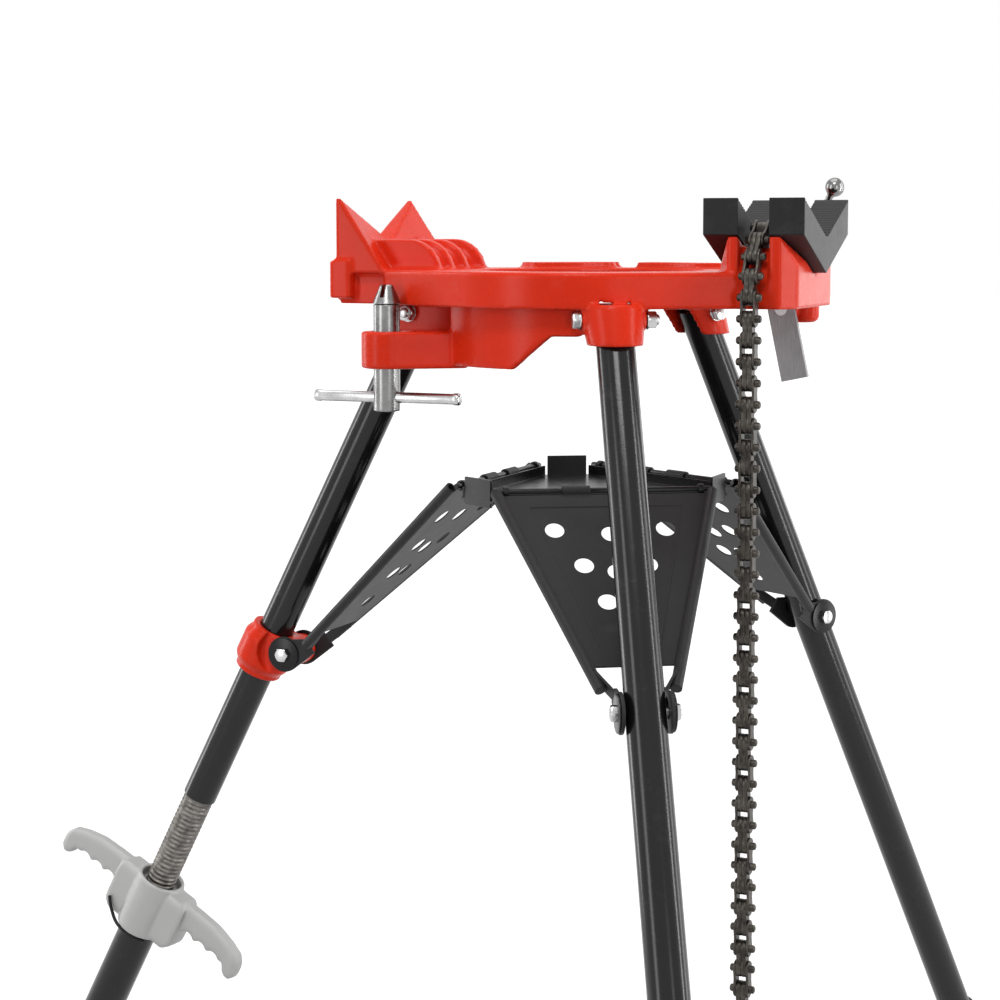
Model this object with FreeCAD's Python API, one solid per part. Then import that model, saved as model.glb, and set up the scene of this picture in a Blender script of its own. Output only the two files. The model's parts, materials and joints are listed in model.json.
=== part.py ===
"""Tripod pipe vise stand: a cast head with V jaws, chain and pipe rest on three folding legs.

Millimetres, +Z up. The model is laid out from the tripod's axis with X along the pipe, from the
pipe rest to the jaws. At the end every piece is shifted together, so that the origin is the middle
of the assembled box, on the floor.
"""
import FreeCAD, Part
import math
import os

V = FreeCAD.Vector

# ---- overall ---------------------------------------------------------------------------------
stand_height = 965.0          # top of the jaws above the floor
running_clearance = 0.1       # radial clearance of a pin or shaft in its hole
seat_clearance = 0.3          # gap between curved or moving faces that lie against each other
leg_splay = 26.84             # angle of each leg from the vertical
front_azimuth = 60.0          # plan angle of the two front legs from +X
rear_azimuth = 180.0          # plan angle of the rear leg

# ---- ring casting ----------------------------------------------------------------------------
ring_outer_radius = 152.0
ring_inner_radius = 112.0
rim_drop = 66.3               # top of the rim below the jaw tops
rim_height = 33.0
rim_wall = 9.0
rim_flange = 12.0
rim_inner_lip = 20.0
rim_round = 3.5
land_height = 5.5             # raised lands on the far rim
land_arcs = ((98.0, 138.0), (47.0, 86.0))
land_inset = 4.0
tool_slot_length = 34.0
tool_slot_width = 12.0
tool_slot_azimuths = (-30.0, 30.0, 75.0, 105.0, -90.0)
blend_left = (-178.0, 81.0)   # where the rim's side walls meet the bridge and the saddle
blend_right = (171.4, 77.0)

# ---- leg sockets -----------------------------------------------------------------------------
pivot_drop = 108.8            # leg pivots below the jaw tops
front_pivot_radius = 138.7
rear_pivot_radius = 175.3
socket_top_drop = 95.0
socket_bottom_drop = 131.5
socket_top_radius = 30.5
socket_bottom_radius = 25.0
socket_swing_radius = 19.4    # room for the tube's top end about its pivot
socket_side_clearance = 0.7
cheek_thickness = 13.0
rear_cheek_length = 84.0
rear_cheek_depth = 40.0
rear_cheek_round = 13.0
pivot_bolt_diameter = 10.0
pivot_bolt_head = 6.4
pivot_bolt_across = 15.0
pivot_nut_height = 8.0
pivot_washer_diameter = 18.0
washer_thickness = 1.6

# ---- pipe rest and bender --------------------------------------------------------------------
rest_span = 162.0
rest_peak_rise = 2.5          # peaks of the rest above the jaw tops
rest_v_depth = 42.0
rest_back = -229.0            # plan place of the rest's outer face
rest_tip_thickness = 4.5
rest_slope = 0.68             # growth of the rest's thickness with depth
rest_twist = 0.17             # and its loss towards the middle
bridge_half_width = 72.0
pad_half_width = 84.0
pad_length = 23.0
pad_overhang = 6.0
pad_top_drop = 58.0
pad_bottom_drop = 94.0
bender_radius = 33.0
bender_centre_x = -163.0
groove_radii = (10.0, 12.0, 16.0)
groove_ridge = 10.0
bender_step = 2.0             # bender's top above the bottom of the rest's V

# ---- jaws and saddle -------------------------------------------------------------------------
vise_x = 185.7                # plan place of the chain plane
jaw_span = 157.0
jaw_thickness = 32.5
jaw_spacing = 61.0
jaw_v_depth = 35.0
jaw_side_height = 33.0
tooth_pitch = 4.9
tooth_depth = 1.6
saddle_half_width = 77.0
saddle_foot = 36.0            # from the chain plane to the saddle's outer face
saddle_ridge = 19.0
saddle_fall = 26.0
saddle_corner = (12.0, 19.0)  # bevel of the outer corners along X and along Y
jaw_bolt_diameter = 8.0
jaw_bolt_head = 8.0
jaw_bolt_recess = 9.0
jaw_bolt_socket = 6.0
jaw_bolt_across = 13.0
jaw_bolt_depth = 16.0
jaw_bolt_spread = 78.0        # between the two bolts of one jaw

# ---- chain -----------------------------------------------------------------------------------
chain_pitch = 19.05
chain_plate_height = 15.0
chain_waist = 10.5
chain_outer_plate = 2.3
chain_inner_plate = 4.5
chain_plate_gap = 0.15
chain_pin_diameter = 7.0
chain_pin_length = 23.0
chain_pin_chamfer = 1.2
chain_anchor_y = -48.0
chain_anchor_drop = 27.0
chain_turns = (35.0, 50.0, 65.0, 78.0, 87.0)   # fall of each link in the slot, from the horizontal
chain_run_links = 8
chain_runs = 5
slot_floor_offset = 9.0
tongue_clearance = 0.2
anchor_lug_root = 11.0        # lug's foot above the casting's underside

# ---- tension rod, claw and lever -------------------------------------------------------------
tension_y = 98.0
tension_boss_radius = 14.5
tension_boss_top = 62.0
tension_boss_bottom = 117.5
tension_boss_round = 7.0
tension_rod_diameter = 10.0
tension_rod_top = 46.0
tension_rod_bottom = 108.0
rack_pitch = 5.0
rack_depth = 1.0
rack_teeth = 5
eye_radius = 9.0
eye_thickness = 9.0
claw_drop = 34.0
claw_pin_diameter = 6.0
claw_plate = 4.0
claw_height = 22.0
claw_reach = 15.0
claw_notch = 4.2
ball_rod_diameter = 6.5
ball_diameter = 18.5
ball_x = 28.5                 # ball from the chain plane
ball_rise = 12.0              # ball centre above the jaw tops
lever_x = -13.9               # cross shaft from the chain plane
lever_drop = 104.0
lever_shaft_diameter = 12.0
lever_barrel_radius = 11.0
pinion_radius = 8.6
pinion_teeth = 12
pinion_width = 14.0
lever_y = 67.0
lever_width = 26.0
lever_thickness = 6.0
lever_length = 68.0           # from the shaft to the lever's square end
lever_tilt = 12.0
lever_pocket = 4.0            # width of the lever's room in the casting beyond its thickness

# ---- ceiling brace screw ---------------------------------------------------------------------
brace_x = -163.0
brace_y = -105.0
brace_lug_radius = 24.0
brace_lug_top = 123.5
brace_lug_bottom = 158.5
brace_screw_diameter = 25.0
brace_screw_top = 98.0
brace_screw_bottom = 199.0
brace_screw_chamfer = 1.5
brace_bar_drop = 186.0
brace_bar_diameter = 11.5
brace_bar_length = 152.0
brace_bar_round = 1.9
nub_base_radius = 13.5
nub_top_radius = 6.0
nub_height = 18.0
nub_slot = 4.0
nub_slot_floor = 6.0          # solid height under the slot
nub_round = 3.0
nub_spigot_radius = 6.0
nub_spigot_length = 10.0
skirt_radius = 131.0
skirt_thickness = 9.0
skirt_arc = (-143.0, -72.0)
skirt_deep_x = -23.0
skirt_shallow_x = 14.0
skirt_shallow_drop = 124.5
arm_lap = 0.2                 # share of the arm's length that laps into the skirt

# ---- legs ------------------------------------------------------------------------------------
leg_diameter = 35.0
leg_wall = 1.6
leg_top = 6.0                 # tube beyond its pivot
foot_outer = 43.0
foot_sleeve = 48.0
foot_cup = 6.0                # solid end under the tube
rear_upper_end = 575.0        # along the leg from its pivot
rod_clearance = 0.1
rod_insert = 70.0
rod_length = 330.0
thread_groove_pitch = 5.0
thread_groove_depth = 1.1
lower_tube_diameter = 41.0
lower_tube_wall = 3.2
lower_tube_start = 744.0

# ---- wing nut and clip -----------------------------------------------------------------------
nut_turn = -5.3               # turn of the wings about the leg from the leg's plane
nut_hub_radius = 26.0
nut_hub_top = 680.0
nut_collar_bore = 21.5
nut_collar_depth = 12.0
nut_lobe_thickness = 30.0
nut_wing_thickness = 15.0
nut_wing_outline = ((30.0, 29.0), (60.0, 28.0), (84.0, 27.0), (105.0, 21.5), (119.0, 16.5), (125.5, 8.0),
                    (126.0, -7.0), (120.5, -14.5), (113.0, -13.0), (109.0, -3.0), (50.0, -4.0), (30.0, -14.0))
nut_lobe_outline = ((42.0, 29.0), (47.0, 23.0), (47.0, -23.0), (40.0, -31.0))
nut_scallops = (58.0, 76.0, 94.0)
nut_scallop_radius = 9.5
nut_scallop_depth = 4.5
nut_round = 2.0
clip_wire = 3.5
clip_path = ((19.0, -34.4, 14.2), (14.5, -34.6, 18.6), (0.0, -34.6, 23.6), (-12.0, -34.9, 20.8),
             (-22.0, -32.4, 18.8), (-33.0, -24.0, 17.6), (-40.0, -15.0, 17.2))

# ---- rear collar -----------------------------------------------------------------------------
collar_radius = 24.5
collar_bulge = 29.0
collar_length = 50.0
collar_tongue_radius = 15.0
collar_screw_diameter = 8.0

# ---- tray ------------------------------------------------------------------------------------
tray_hinge_drop = 268.0
tray_apothem = 92.0
tray_corner_radius = 132.0
tray_corner_half = 25.0
corner_flange_half = 20.0
corner_flange_drop = 4.0
tray_thickness = 2.5
tray_recess = 12.0            # plate below its hinge rods
corner_flange_rise = 10.0
hinge_rod_diameter = 6.0
hinge_rod_half = 104.0
knuckle_outer = 10.0
knuckle_length = 26.0
knuckle_place = 26.0          # middle of each knuckle from the wing's middle
wing_thickness = 2.0
wing_hinge_half = 101.0
wing_edge_tube = 10.5
wing_edge_bore = 7.0
ear_gap = 19.6                # inner face of an ear from the leg's middle plane
ear_thickness = 3.0
ear_radius = 18.0
slot_travel = 9.0             # the pin's run along an ear while the tray folds
slot_slack = 2.2              # the pin's room across an ear
wing_pin_diameter = 8.0
wing_washer_diameter = 34.0
wing_bolt_head = 5.5
wing_bolt_across = 13.0
front_pin = (300.0, 430.0)    # plan radius and drop below the jaw tops
rear_pin = (321.0, 459.0)
wing_drop = 14.0              # plate below the line from its hinge to its pin, at the pin
panel_clear = 60.0            # plate's end from the wing pin
edge_clear = 32.0             # edge tubes' ends from the wing pin
edge_plug = 20.0              # closed length at an edge tube's lower end
hole_radius = 8.8
hole_places = ((0.18, 51.0), (0.20, 0.0), (0.34, 29.0), (0.37, 0.0), (0.50, 13.0), (0.66, 0.0))
panel_inset = 15.0
panel_depth = 0.7

# ---- worked out ------------------------------------------------------------------------------
splay = math.radians(leg_splay)
leg_cos = math.cos(splay)
leg_sin = math.sin(splay)
rim_top = stand_height - rim_drop
rim_bottom = rim_top - rim_height
pivot_z = stand_height - pivot_drop
leg_length = pivot_z / leg_cos
leg_radius = leg_diameter / 2
socket_half = leg_radius + socket_side_clearance
cheek_outer = socket_half + cheek_thickness
slot_half = (jaw_spacing - jaw_thickness) / 2
far = 2 * stand_height        # longer than anything it has to cut


# ---- shape helpers ---------------------------------------------------------------------------
def cylinder(start, direction, radius, length):
    """Solid round bar from start along direction."""
    return Part.makeCylinder(radius, length, start, direction)


def pipe(start, direction, outer, inner, length):
    """Round tube from start along direction."""
    return cylinder(start, direction, outer, length).cut(cylinder(start, direction, inner, length))


def prism(points, along):
    """Straight prism: a closed outline of points swept along one vector."""
    return Part.Face(Part.makePolygon(points + [points[0]])).extrude(along)


def prism_yz(outline, x_low, x_high):
    """Prism along X between two places, from an outline of (y, z) points."""
    return prism([V(x_low, y, z) for y, z in outline], V(x_high - x_low, 0, 0))


def prism_xz(outline, y_low, y_high):
    """Prism along Y between two places, from an outline of (x, z) points."""
    return prism([V(x, y_low, z) for x, z in outline], V(0, y_high - y_low, 0))


def box(low, high):
    """Box between two corners."""
    return Part.makeBox(high[0] - low[0], high[1] - low[1], high[2] - low[2], V(*low))


def turned(shape, degrees):
    """Copy of a shape turned about the tripod's axis."""
    copy = shape.copy()
    copy.rotate(V(0, 0, 0), V(0, 0, 1), degrees)
    return copy


def mirrored_y(shape):
    """Copy of a shape on the other side of the middle plane."""
    return shape.mirror(V(0, 0, 0), V(0, 1, 0))


def hexagon(centre, direction, across, height):
    """Hexagonal prism of a bolt head or nut, its base at centre."""
    circle_radius = across / math.sqrt(3)
    corners = [V(circle_radius * math.cos(math.radians(60 * i)),
                 circle_radius * math.sin(math.radians(60 * i)), 0) for i in range(6)]
    shape = prism(corners, V(0, 0, height))
    shape.Placement = FreeCAD.Placement(centre, FreeCAD.Rotation(V(0, 0, 1), direction))
    return shape


def fuse_all(shapes):
    """One shape from many that touch, joined one after another."""
    body = shapes[0]
    for shape in shapes[1:]:
        body = body.fuse(shape)
    return body.removeSplitter()


def leg_point(pivot_radius, along, outward=0.0, side=0.0):
    """Point of a leg's own frame (X radial, Y tangential): along the tube, and off it."""
    return V(pivot_radius + along * leg_sin + outward * leg_cos, side,
             pivot_z - along * leg_cos + outward * leg_sin)


leg_down = V(leg_sin, 0, -leg_cos)
side_way = V(0, 1, 0)


def along_leg(drop):
    """Distance along a leg from its pivot at a drop below the jaw tops."""
    return (drop - pivot_drop) / leg_cos


# ---- head casting ----------------------------------------------------------------------------
def tangent_angle(point, side):
    """Plan angle where a line from an outside point touches the rim."""
    reach = math.hypot(point[0], point[1])
    return math.atan2(point[1], point[0]) + side * math.acos(ring_outer_radius / reach)


def rim_point(angle):
    """Point on the rim's outer edge at the casting's underside."""
    return V(ring_outer_radius * math.cos(angle), ring_outer_radius * math.sin(angle), rim_bottom)


def rim_side(left, right):
    """Edges of one side of the casting: straight walls from both ends meet the round rim."""
    start = tangent_angle(left, 1)
    end = tangent_angle(right, -1)
    middle = (start + end) / 2
    a = V(left[0], left[1], rim_bottom)
    b = V(right[0], right[1], rim_bottom)
    return [Part.makeLine(a, rim_point(start)),
            Part.Arc(rim_point(start), rim_point(middle), rim_point(end)).toShape(),
            Part.makeLine(rim_point(end), b)]


def ring():
    """Ring with straight side walls out to the bridge and the saddle, open inside and below."""
    near_left = (blend_left[0], -blend_left[1])
    near_right = (blend_right[0], -blend_right[1])
    near = rim_side(near_left, near_right)
    far_side = [e.mirror(V(0, 0, 0), V(0, 1, 0)) for e in near]
    ends = [Part.makeLine(V(x, -y, rim_bottom), V(x, y, rim_bottom)) for x, y in (blend_left, blend_right)]
    wire = Part.Wire(Part.__sortEdges__(near + far_side + ends))
    body = Part.Face(wire).extrude(V(0, 0, rim_height))
    hole = cylinder(V(0, 0, rim_bottom), V(0, 0, 1), ring_inner_radius, rim_height)
    body = body.cut(hole)
    body = body.makeFillet(rim_round, [e for e in body.Edges if rounds_off(e)])
    channel = ring_outer_radius - rim_wall
    hollow = cylinder(V(0, 0, rim_bottom), V(0, 0, 1), channel, rim_height - rim_inner_lip)
    deep = pipe(V(0, 0, rim_bottom), V(0, 0, 1), channel, ring_inner_radius + rim_wall,
                rim_height - rim_flange)
    return body.cut(hollow).cut(deep)


def rounds_off(edge):
    """True for the casting's top edges, apart from its two straight ends."""
    box_of = edge.BoundBox
    at_top = abs(box_of.ZMin - rim_top) < running_clearance and box_of.ZLength < running_clearance
    return at_top and box_of.XLength > rim_round


def sector(inner, outer, start, end, low, high):
    """Part of a flat ring between two plan angles."""
    slab = cylinder(V(0, 0, low), V(0, 0, 1), outer, high - low)
    slab = slab.cut(cylinder(V(0, 0, low), V(0, 0, 1), inner, high - low))
    middle = (start + end) / 2
    half = math.radians((end - start) / 2)
    reach = 2 * outer
    wedge = prism([V(0, 0, low), V(reach, -reach * math.tan(half), low),
                   V(reach, reach * math.tan(half), low)], V(0, 0, high - low))
    return slab.common(turned(wedge, middle))


def lands():
    """Raised lands on the far side of the rim."""
    return [sector(ring_inner_radius + land_inset, ring_outer_radius - land_inset, start, end,
                   rim_top - rim_round, rim_top + land_height) for start, end in land_arcs]


def front_socket():
    """Tapered boss around the top of a front leg, in the leg's own frame."""
    top = along_leg(socket_top_drop)
    bottom = along_leg(socket_bottom_drop)
    spare = socket_bottom_radius
    slope = (socket_bottom_radius - socket_top_radius) / (bottom - top)
    cone = Part.makeCone(socket_top_radius - slope * spare, socket_bottom_radius + slope * spare,
                         bottom - top + 2 * spare, leg_point(front_pivot_radius, top - spare), leg_down)
    slab = box((0, -far, stand_height - socket_bottom_drop), (far, far, stand_height - socket_top_drop))
    return cone.common(slab)


def socket_cavity(pivot_radius):
    """Room for the tube's top and its swing from splayed to upright, in the leg's own frame."""
    half = socket_half
    round_room = cylinder(V(pivot_radius, -half, pivot_z), side_way, socket_swing_radius, 2 * half)
    outer_end = leg_point(pivot_radius, rear_cheek_length)
    inner_x = pivot_radius - socket_swing_radius - half
    under = rim_bottom - running_clearance
    swing = prism([V(pivot_radius, -half, pivot_z), V(outer_end.x, -half, outer_end.z),
                   V(inner_x, -half, outer_end.z), V(inner_x, -half, under),
                   V(pivot_radius, -half, under)], V(0, 2 * half, 0))
    splayed = cylinder(V(pivot_radius, 0, pivot_z), leg_down, half, rear_cheek_length)
    return round_room.fuse(swing).fuse(splayed)


def pivot_hole(pivot_radius):
    """Cross hole for a leg's pivot bolt, in the leg's own frame."""
    return cylinder(V(pivot_radius, -far, pivot_z), side_way,
                    pivot_bolt_diameter / 2 + running_clearance, 2 * far)


def rear_cheeks():
    """Two plates either side of the rear leg's top."""
    start_x = -rear_pivot_radius - rear_cheek_length / 2 + cheek_thickness
    low = stand_height - pivot_drop - rear_cheek_depth / 2
    plate = box((start_x, socket_half, low),
                (start_x + rear_cheek_length, cheek_outer, rim_bottom + rim_round))
    corners = [e for e in plate.Edges if abs(e.BoundBox.ZMax - low) < running_clearance
               and e.BoundBox.YLength > running_clearance]
    plate = plate.makeFillet(rear_cheek_round, corners)
    return [plate, mirrored_y(plate)]


def bridge():
    """Flat body that carries the pipe rest and the bender, out from the ring."""
    body = box((rest_back, -bridge_half_width, rim_bottom), (blend_left[0] + rim_wall,
                                                            bridge_half_width, rim_top))
    start = rest_back - pad_overhang
    pad = box((start, -pad_half_width, stand_height - pad_bottom_drop),
              (start + pad_length, pad_half_width, stand_height - pad_top_drop))
    pad = pad.makeFillet(rim_round, [e for e in pad.Edges if e.BoundBox.ZLength > rim_height / 2])
    return [body, pad]


def beyond(point, normal):
    """Large block on the far side of a plane."""
    block = Part.makeBox(far, far, far, V(-far / 2, -far / 2, 0))
    block.Placement = FreeCAD.Placement(point, FreeCAD.Rotation(V(0, 0, 1), normal))
    return block


def pipe_rest():
    """V rest: two sharp peaks, thicker at their feet and towards their outer ends."""
    peak = stand_height + rest_peak_rise
    foot = rim_top - rim_round
    half = rest_span / 2
    side = box((rest_back, -half, foot), (rest_back + rest_span, half, peak))
    groove = prism_yz([(-half, peak), (0, peak - rest_v_depth), (half, peak), (half, far), (-half, far)],
                      rest_back - far, far)
    body = side.cut(groove)
    halves = []
    for sign in (-1, 1):
        edge = V(rest_back + rest_tip_thickness, sign * half, peak)
        part = body.common(box((-far, min(0, sign * far), 0), (far, max(0, sign * far), far)))
        halves.append(part.cut(beyond(edge, V(1, -sign * rest_twist, rest_slope))))
    return halves[0].fuse(halves[1]).removeSplitter()


def bender():
    """Bending saddle: a block with three round grooves that curve down over its inner end."""
    top = peak_of_bender()
    half = sum(groove_radii) + groove_ridge * (len(groove_radii) + 1) / 2
    axis_z = top - bender_radius
    block = box((rest_back + rest_tip_thickness, -half, rim_top - rim_round),
                (bender_centre_x, half, top))
    drum = cylinder(V(bender_centre_x, -half, axis_z), side_way, bender_radius, 2 * half)
    drum = drum.common(box((bender_centre_x, -half, rim_top - rim_round), (0, half, top)))
    body = block.fuse(drum)
    y = -half
    for radius in groove_radii:
        y += groove_ridge + radius
        body = body.cut(cylinder(V(rest_back, y, top), V(1, 0, 0), radius, bender_centre_x - rest_back))
        body = body.cut(Part.makeTorus(bender_radius, radius, V(bender_centre_x, y, axis_z), side_way))
        y += radius
    return body


def peak_of_bender():
    """Height of the bender's top, just above the bottom of the rest's V."""
    return stand_height + rest_peak_rise - rest_v_depth + bender_step


def saddle_top(y, below=0.0):
    """Height of the jaws' underside at a distance from the middle plane."""
    rise = abs(y) * jaw_v_depth / (jaw_span / 2)
    return stand_height - jaw_side_height - jaw_v_depth + rise - below


def saddle_half():
    """One side of the saddle, beside the chain slot, sloping away from its ridge."""
    ridge = stand_height
    side = prism_xz([(vise_x + slot_half, rim_bottom), (vise_x + saddle_foot, rim_bottom),
                     (vise_x + saddle_foot, ridge - jaw_side_height - saddle_fall),
                     (vise_x + saddle_ridge, ridge - jaw_side_height + saddle_ridge / 2),
                     (vise_x + slot_half, ridge - jaw_side_height + saddle_ridge / 2)],
                    -saddle_half_width, saddle_half_width)
    x = vise_x + saddle_foot
    for sign in (-1, 1):
        y = sign * saddle_half_width
        corner = [V(x, y - sign * saddle_corner[1], 0), V(x - saddle_corner[0], y, 0),
                  V(x, y + sign * saddle_corner[1], 0), V(x + saddle_corner[0], y, 0)]
        side = side.cut(prism(corner, V(0, 0, far)))
    return side


def chain_pins():
    """Centres (y, z) of the chain's pins, from its anchor down the slot and then straight down."""
    points = [(chain_anchor_y, stand_height - chain_anchor_drop)]
    for fall in chain_turns:
        angle = math.radians(fall)
        y, z = points[-1]
        points.append((y - chain_pitch * math.cos(angle), z - chain_pitch * math.sin(angle)))
    for _ in range(chain_run_links * chain_runs):
        y, z = points[-1]
        points.append((y, z - chain_pitch))
    return points


def saddle_core():
    """Filling between the saddle's halves, with a sloping floor under the chain."""
    pins = chain_pins()
    floor = []
    for (y0, z0), (y1, z1) in zip(pins[1:4], pins[2:5]):
        run = math.hypot(y1 - y0, z1 - z0)
        floor.append((y0 - (z0 - z1) / run * -slot_floor_offset, z0 - (y0 - y1) / run * slot_floor_offset))
    low_floor = stand_height - jaw_side_height - jaw_v_depth - slot_floor_offset
    near = [(-saddle_half_width, rim_bottom), (-saddle_half_width, pins[4][1])] + floor[::-1]
    outline = near + [(chain_anchor_y / 2, low_floor), (-chain_anchor_y, low_floor),
                      (saddle_half_width, low_floor), (saddle_half_width, rim_bottom)]
    return prism_yz(outline, vise_x - slot_half, vise_x + slot_half)


def anchor_lug():
    """Steel lug let into the saddle, between the first link's plates."""
    half = chain_inner_plate - tongue_clearance
    y, z = chain_pins()[0]
    low = rim_bottom + anchor_lug_root
    body = box((vise_x - half, y - chain_waist / 2, low), (vise_x + half, y + chain_waist / 2, z))
    body = body.fuse(cylinder(V(vise_x - half, y, z), V(1, 0, 0), chain_waist / 2, 2 * half))
    hole = cylinder(V(vise_x - half, y, z), V(1, 0, 0), chain_pin_diameter / 2, 2 * half)
    return body.cut(hole).removeSplitter()


def tension_boss():
    """Boss for the tension rod on the saddle's far face, with a barrel for the cross shaft."""
    top = stand_height - tension_boss_top
    bottom = stand_height - tension_boss_bottom
    boss = cylinder(V(vise_x, tension_y, bottom), V(0, 0, 1), tension_boss_radius, top - bottom)
    boss = boss.makeFillet(tension_boss_round, [e for e in boss.Edges
                                                if abs(e.BoundBox.ZMax - bottom) < running_clearance])
    web = box((vise_x - tension_boss_radius, saddle_half_width - rim_wall, rim_bottom),
              (vise_x + tension_boss_radius, tension_y, top))
    barrel = cylinder(lever_axis(barrel_start()), side_way, lever_barrel_radius,
                      tension_y + tension_boss_radius - barrel_start())
    return fuse_all([boss, web, barrel])


def barrel_start():
    """Near end of the cross shaft's barrel, beyond the lever's room."""
    return lever_y + (lever_thickness + lever_pocket) / 2


def lever_axis(y):
    """Point on the cross shaft's axis."""
    return V(vise_x + lever_x, y, stand_height - lever_drop)


def lever_room():
    """Room in the casting for the lever's head, its shaft and its pinion."""
    width = lever_thickness + lever_pocket
    head = cylinder(lever_axis(lever_y - width / 2), side_way, lever_width / 2 + lever_pocket / 2, width)
    shaft = cylinder(lever_axis(lever_y), side_way, lever_shaft_diameter / 2 + running_clearance,
                     tension_y + tension_boss_radius - rim_round - lever_y)
    chamber = cylinder(lever_axis(tension_y - pinion_width / 2 - seat_clearance), side_way,
                       pinion_radius + seat_clearance, pinion_width + 2 * seat_clearance)
    return [head, shaft, chamber]


def brace_arm():
    """Skirt under the near rim that ends in the brace screw's lug."""
    low = stand_height - brace_lug_bottom + rim_round
    skirt = sector(skirt_radius - skirt_thickness / 2, skirt_radius + skirt_thickness / 2,
                   skirt_arc[0], skirt_arc[1], low, rim_top - rim_flange)
    shallow = stand_height - skirt_shallow_drop
    relief = prism_xz([(skirt_deep_x, low), (skirt_shallow_x, shallow), (far, shallow),
                       (far, 0), (skirt_deep_x, 0)], -far, 0)
    skirt = skirt.cut(relief)
    lug_low = stand_height - brace_lug_bottom
    lug_high = stand_height - brace_lug_top
    lug = cylinder(V(brace_x, brace_y, lug_low), V(0, 0, 1), brace_lug_radius, lug_high - lug_low)
    lug = lug.makeFillet(rim_round / 2, [e for e in lug.Edges if e.BoundBox.ZLength < running_clearance])
    start = math.radians(skirt_arc[0])
    end = V(skirt_radius * math.cos(start), skirt_radius * math.sin(start), 0)
    way = V(end.x - brace_x, end.y - brace_y, 0)
    across = V(-way.y, way.x, 0).normalize()
    wide = brace_lug_radius
    narrow = skirt_thickness
    arm = prism([V(brace_x, brace_y, lug_low) + across * wide, V(brace_x, brace_y, lug_low) - across * wide,
                 V(end.x, end.y, lug_low) - across * narrow + way * arm_lap,
                 V(end.x, end.y, lug_low) + across * narrow + way * arm_lap], V(0, 0, lug_high - lug_low))
    return [skirt, lug, arm]


def base_casting():
    """The whole head casting."""
    pieces = [ring()] + lands() + bridge() + [pipe_rest(), bender(), tension_boss()]
    half = saddle_half()
    pieces += [half, half.mirror(V(vise_x, 0, 0), V(1, 0, 0)), saddle_core()]
    pieces += [turned(front_socket(), side * front_azimuth) for side in (-1, 1)]
    pieces += rear_cheeks() + brace_arm()
    body = fuse_all(pieces)
    wide = jaw_span
    seat = prism_yz([(-wide, saddle_top(wide)), (0, saddle_top(0)), (wide, saddle_top(wide)),
                     (wide, far), (-wide, far)], vise_x - jaw_span / 2, far)
    keep = box((vise_x - slot_half, -saddle_half_width, 0), (vise_x + slot_half, 0, far))
    cuts = [seat.cut(keep)]
    for azimuth, radius in leg_places():
        cuts += [turned(socket_cavity(radius), azimuth), turned(pivot_hole_span(radius), azimuth)]
    cuts.append(cylinder(V(brace_x, brace_y, 0), V(0, 0, 1),
                         brace_screw_diameter / 2 + running_clearance, stand_height - rim_drop))
    cuts.append(cylinder(V(vise_x, tension_y, 0), V(0, 0, 1),
                         tension_rod_diameter / 2 + running_clearance, far))
    anchor_y, anchor_z = chain_pins()[0]
    half = chain_inner_plate - tongue_clearance
    cuts.append(box((vise_x - half, anchor_y - chain_waist / 2, rim_bottom + anchor_lug_root),
                    (vise_x + half, anchor_y + chain_waist / 2, anchor_z)))
    cuts += [tool_slot(azimuth) for azimuth in tool_slot_azimuths] + lever_room()
    cuts += [cylinder(V(x, y, 0), V(0, 0, 1), jaw_bolt_diameter / 2 + running_clearance, far)
             for x, y in jaw_bolt_places()]
    cuts += [cylinder(V(x, y, rim_bottom), V(0, 0, 1), jaw_bolt_across / 2 + seat_clearance, jaw_bolt_recess)
             for x, y in jaw_bolt_places()]
    cuts += [turned(room, -front_azimuth) for room in bolt_rooms()]
    for cut in cuts:
        body = body.cut(cut)
    return body


def bolt_rooms():
    """Pockets in the skirt for the pivot bolt's head and nut, in the leg's own frame."""
    reach = bolt_reach(front_pivot_radius)
    depth = washer_thickness + pivot_nut_height + rim_round
    return [cylinder(V(front_pivot_radius, side * reach, pivot_z), V(0, side, 0),
                     pivot_washer_diameter / 2 + seat_clearance, depth) for side in (-1, 1)]


def leg_places():
    """Plan angle and pivot radius of each leg: the near front one, the far front one, the rear."""
    return ((-front_azimuth, front_pivot_radius), (front_azimuth, front_pivot_radius),
            (rear_azimuth, rear_pivot_radius))


def pivot_hole_span(pivot_radius):
    """Cross hole through one socket only."""
    span = cheek_outer + socket_top_radius
    return cylinder(V(pivot_radius, -span, pivot_z), side_way,
                    pivot_bolt_diameter / 2 + running_clearance, 2 * span)


def tool_slot(azimuth):
    """Obround slot through the ring's flange for hanging tools."""
    middle = (ring_inner_radius + ring_outer_radius) / 2
    half = (tool_slot_length - tool_slot_width) / 2
    low = rim_top - 2 * rim_flange
    bar = box((middle - tool_slot_width / 2, -half, low), (middle + tool_slot_width / 2, half, far))
    ends = [cylinder(V(middle, side * half, low), V(0, 0, 1), tool_slot_width / 2, far) for side in (-1, 1)]
    return turned(bar.fuse(ends[0]).fuse(ends[1]), azimuth)


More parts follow.
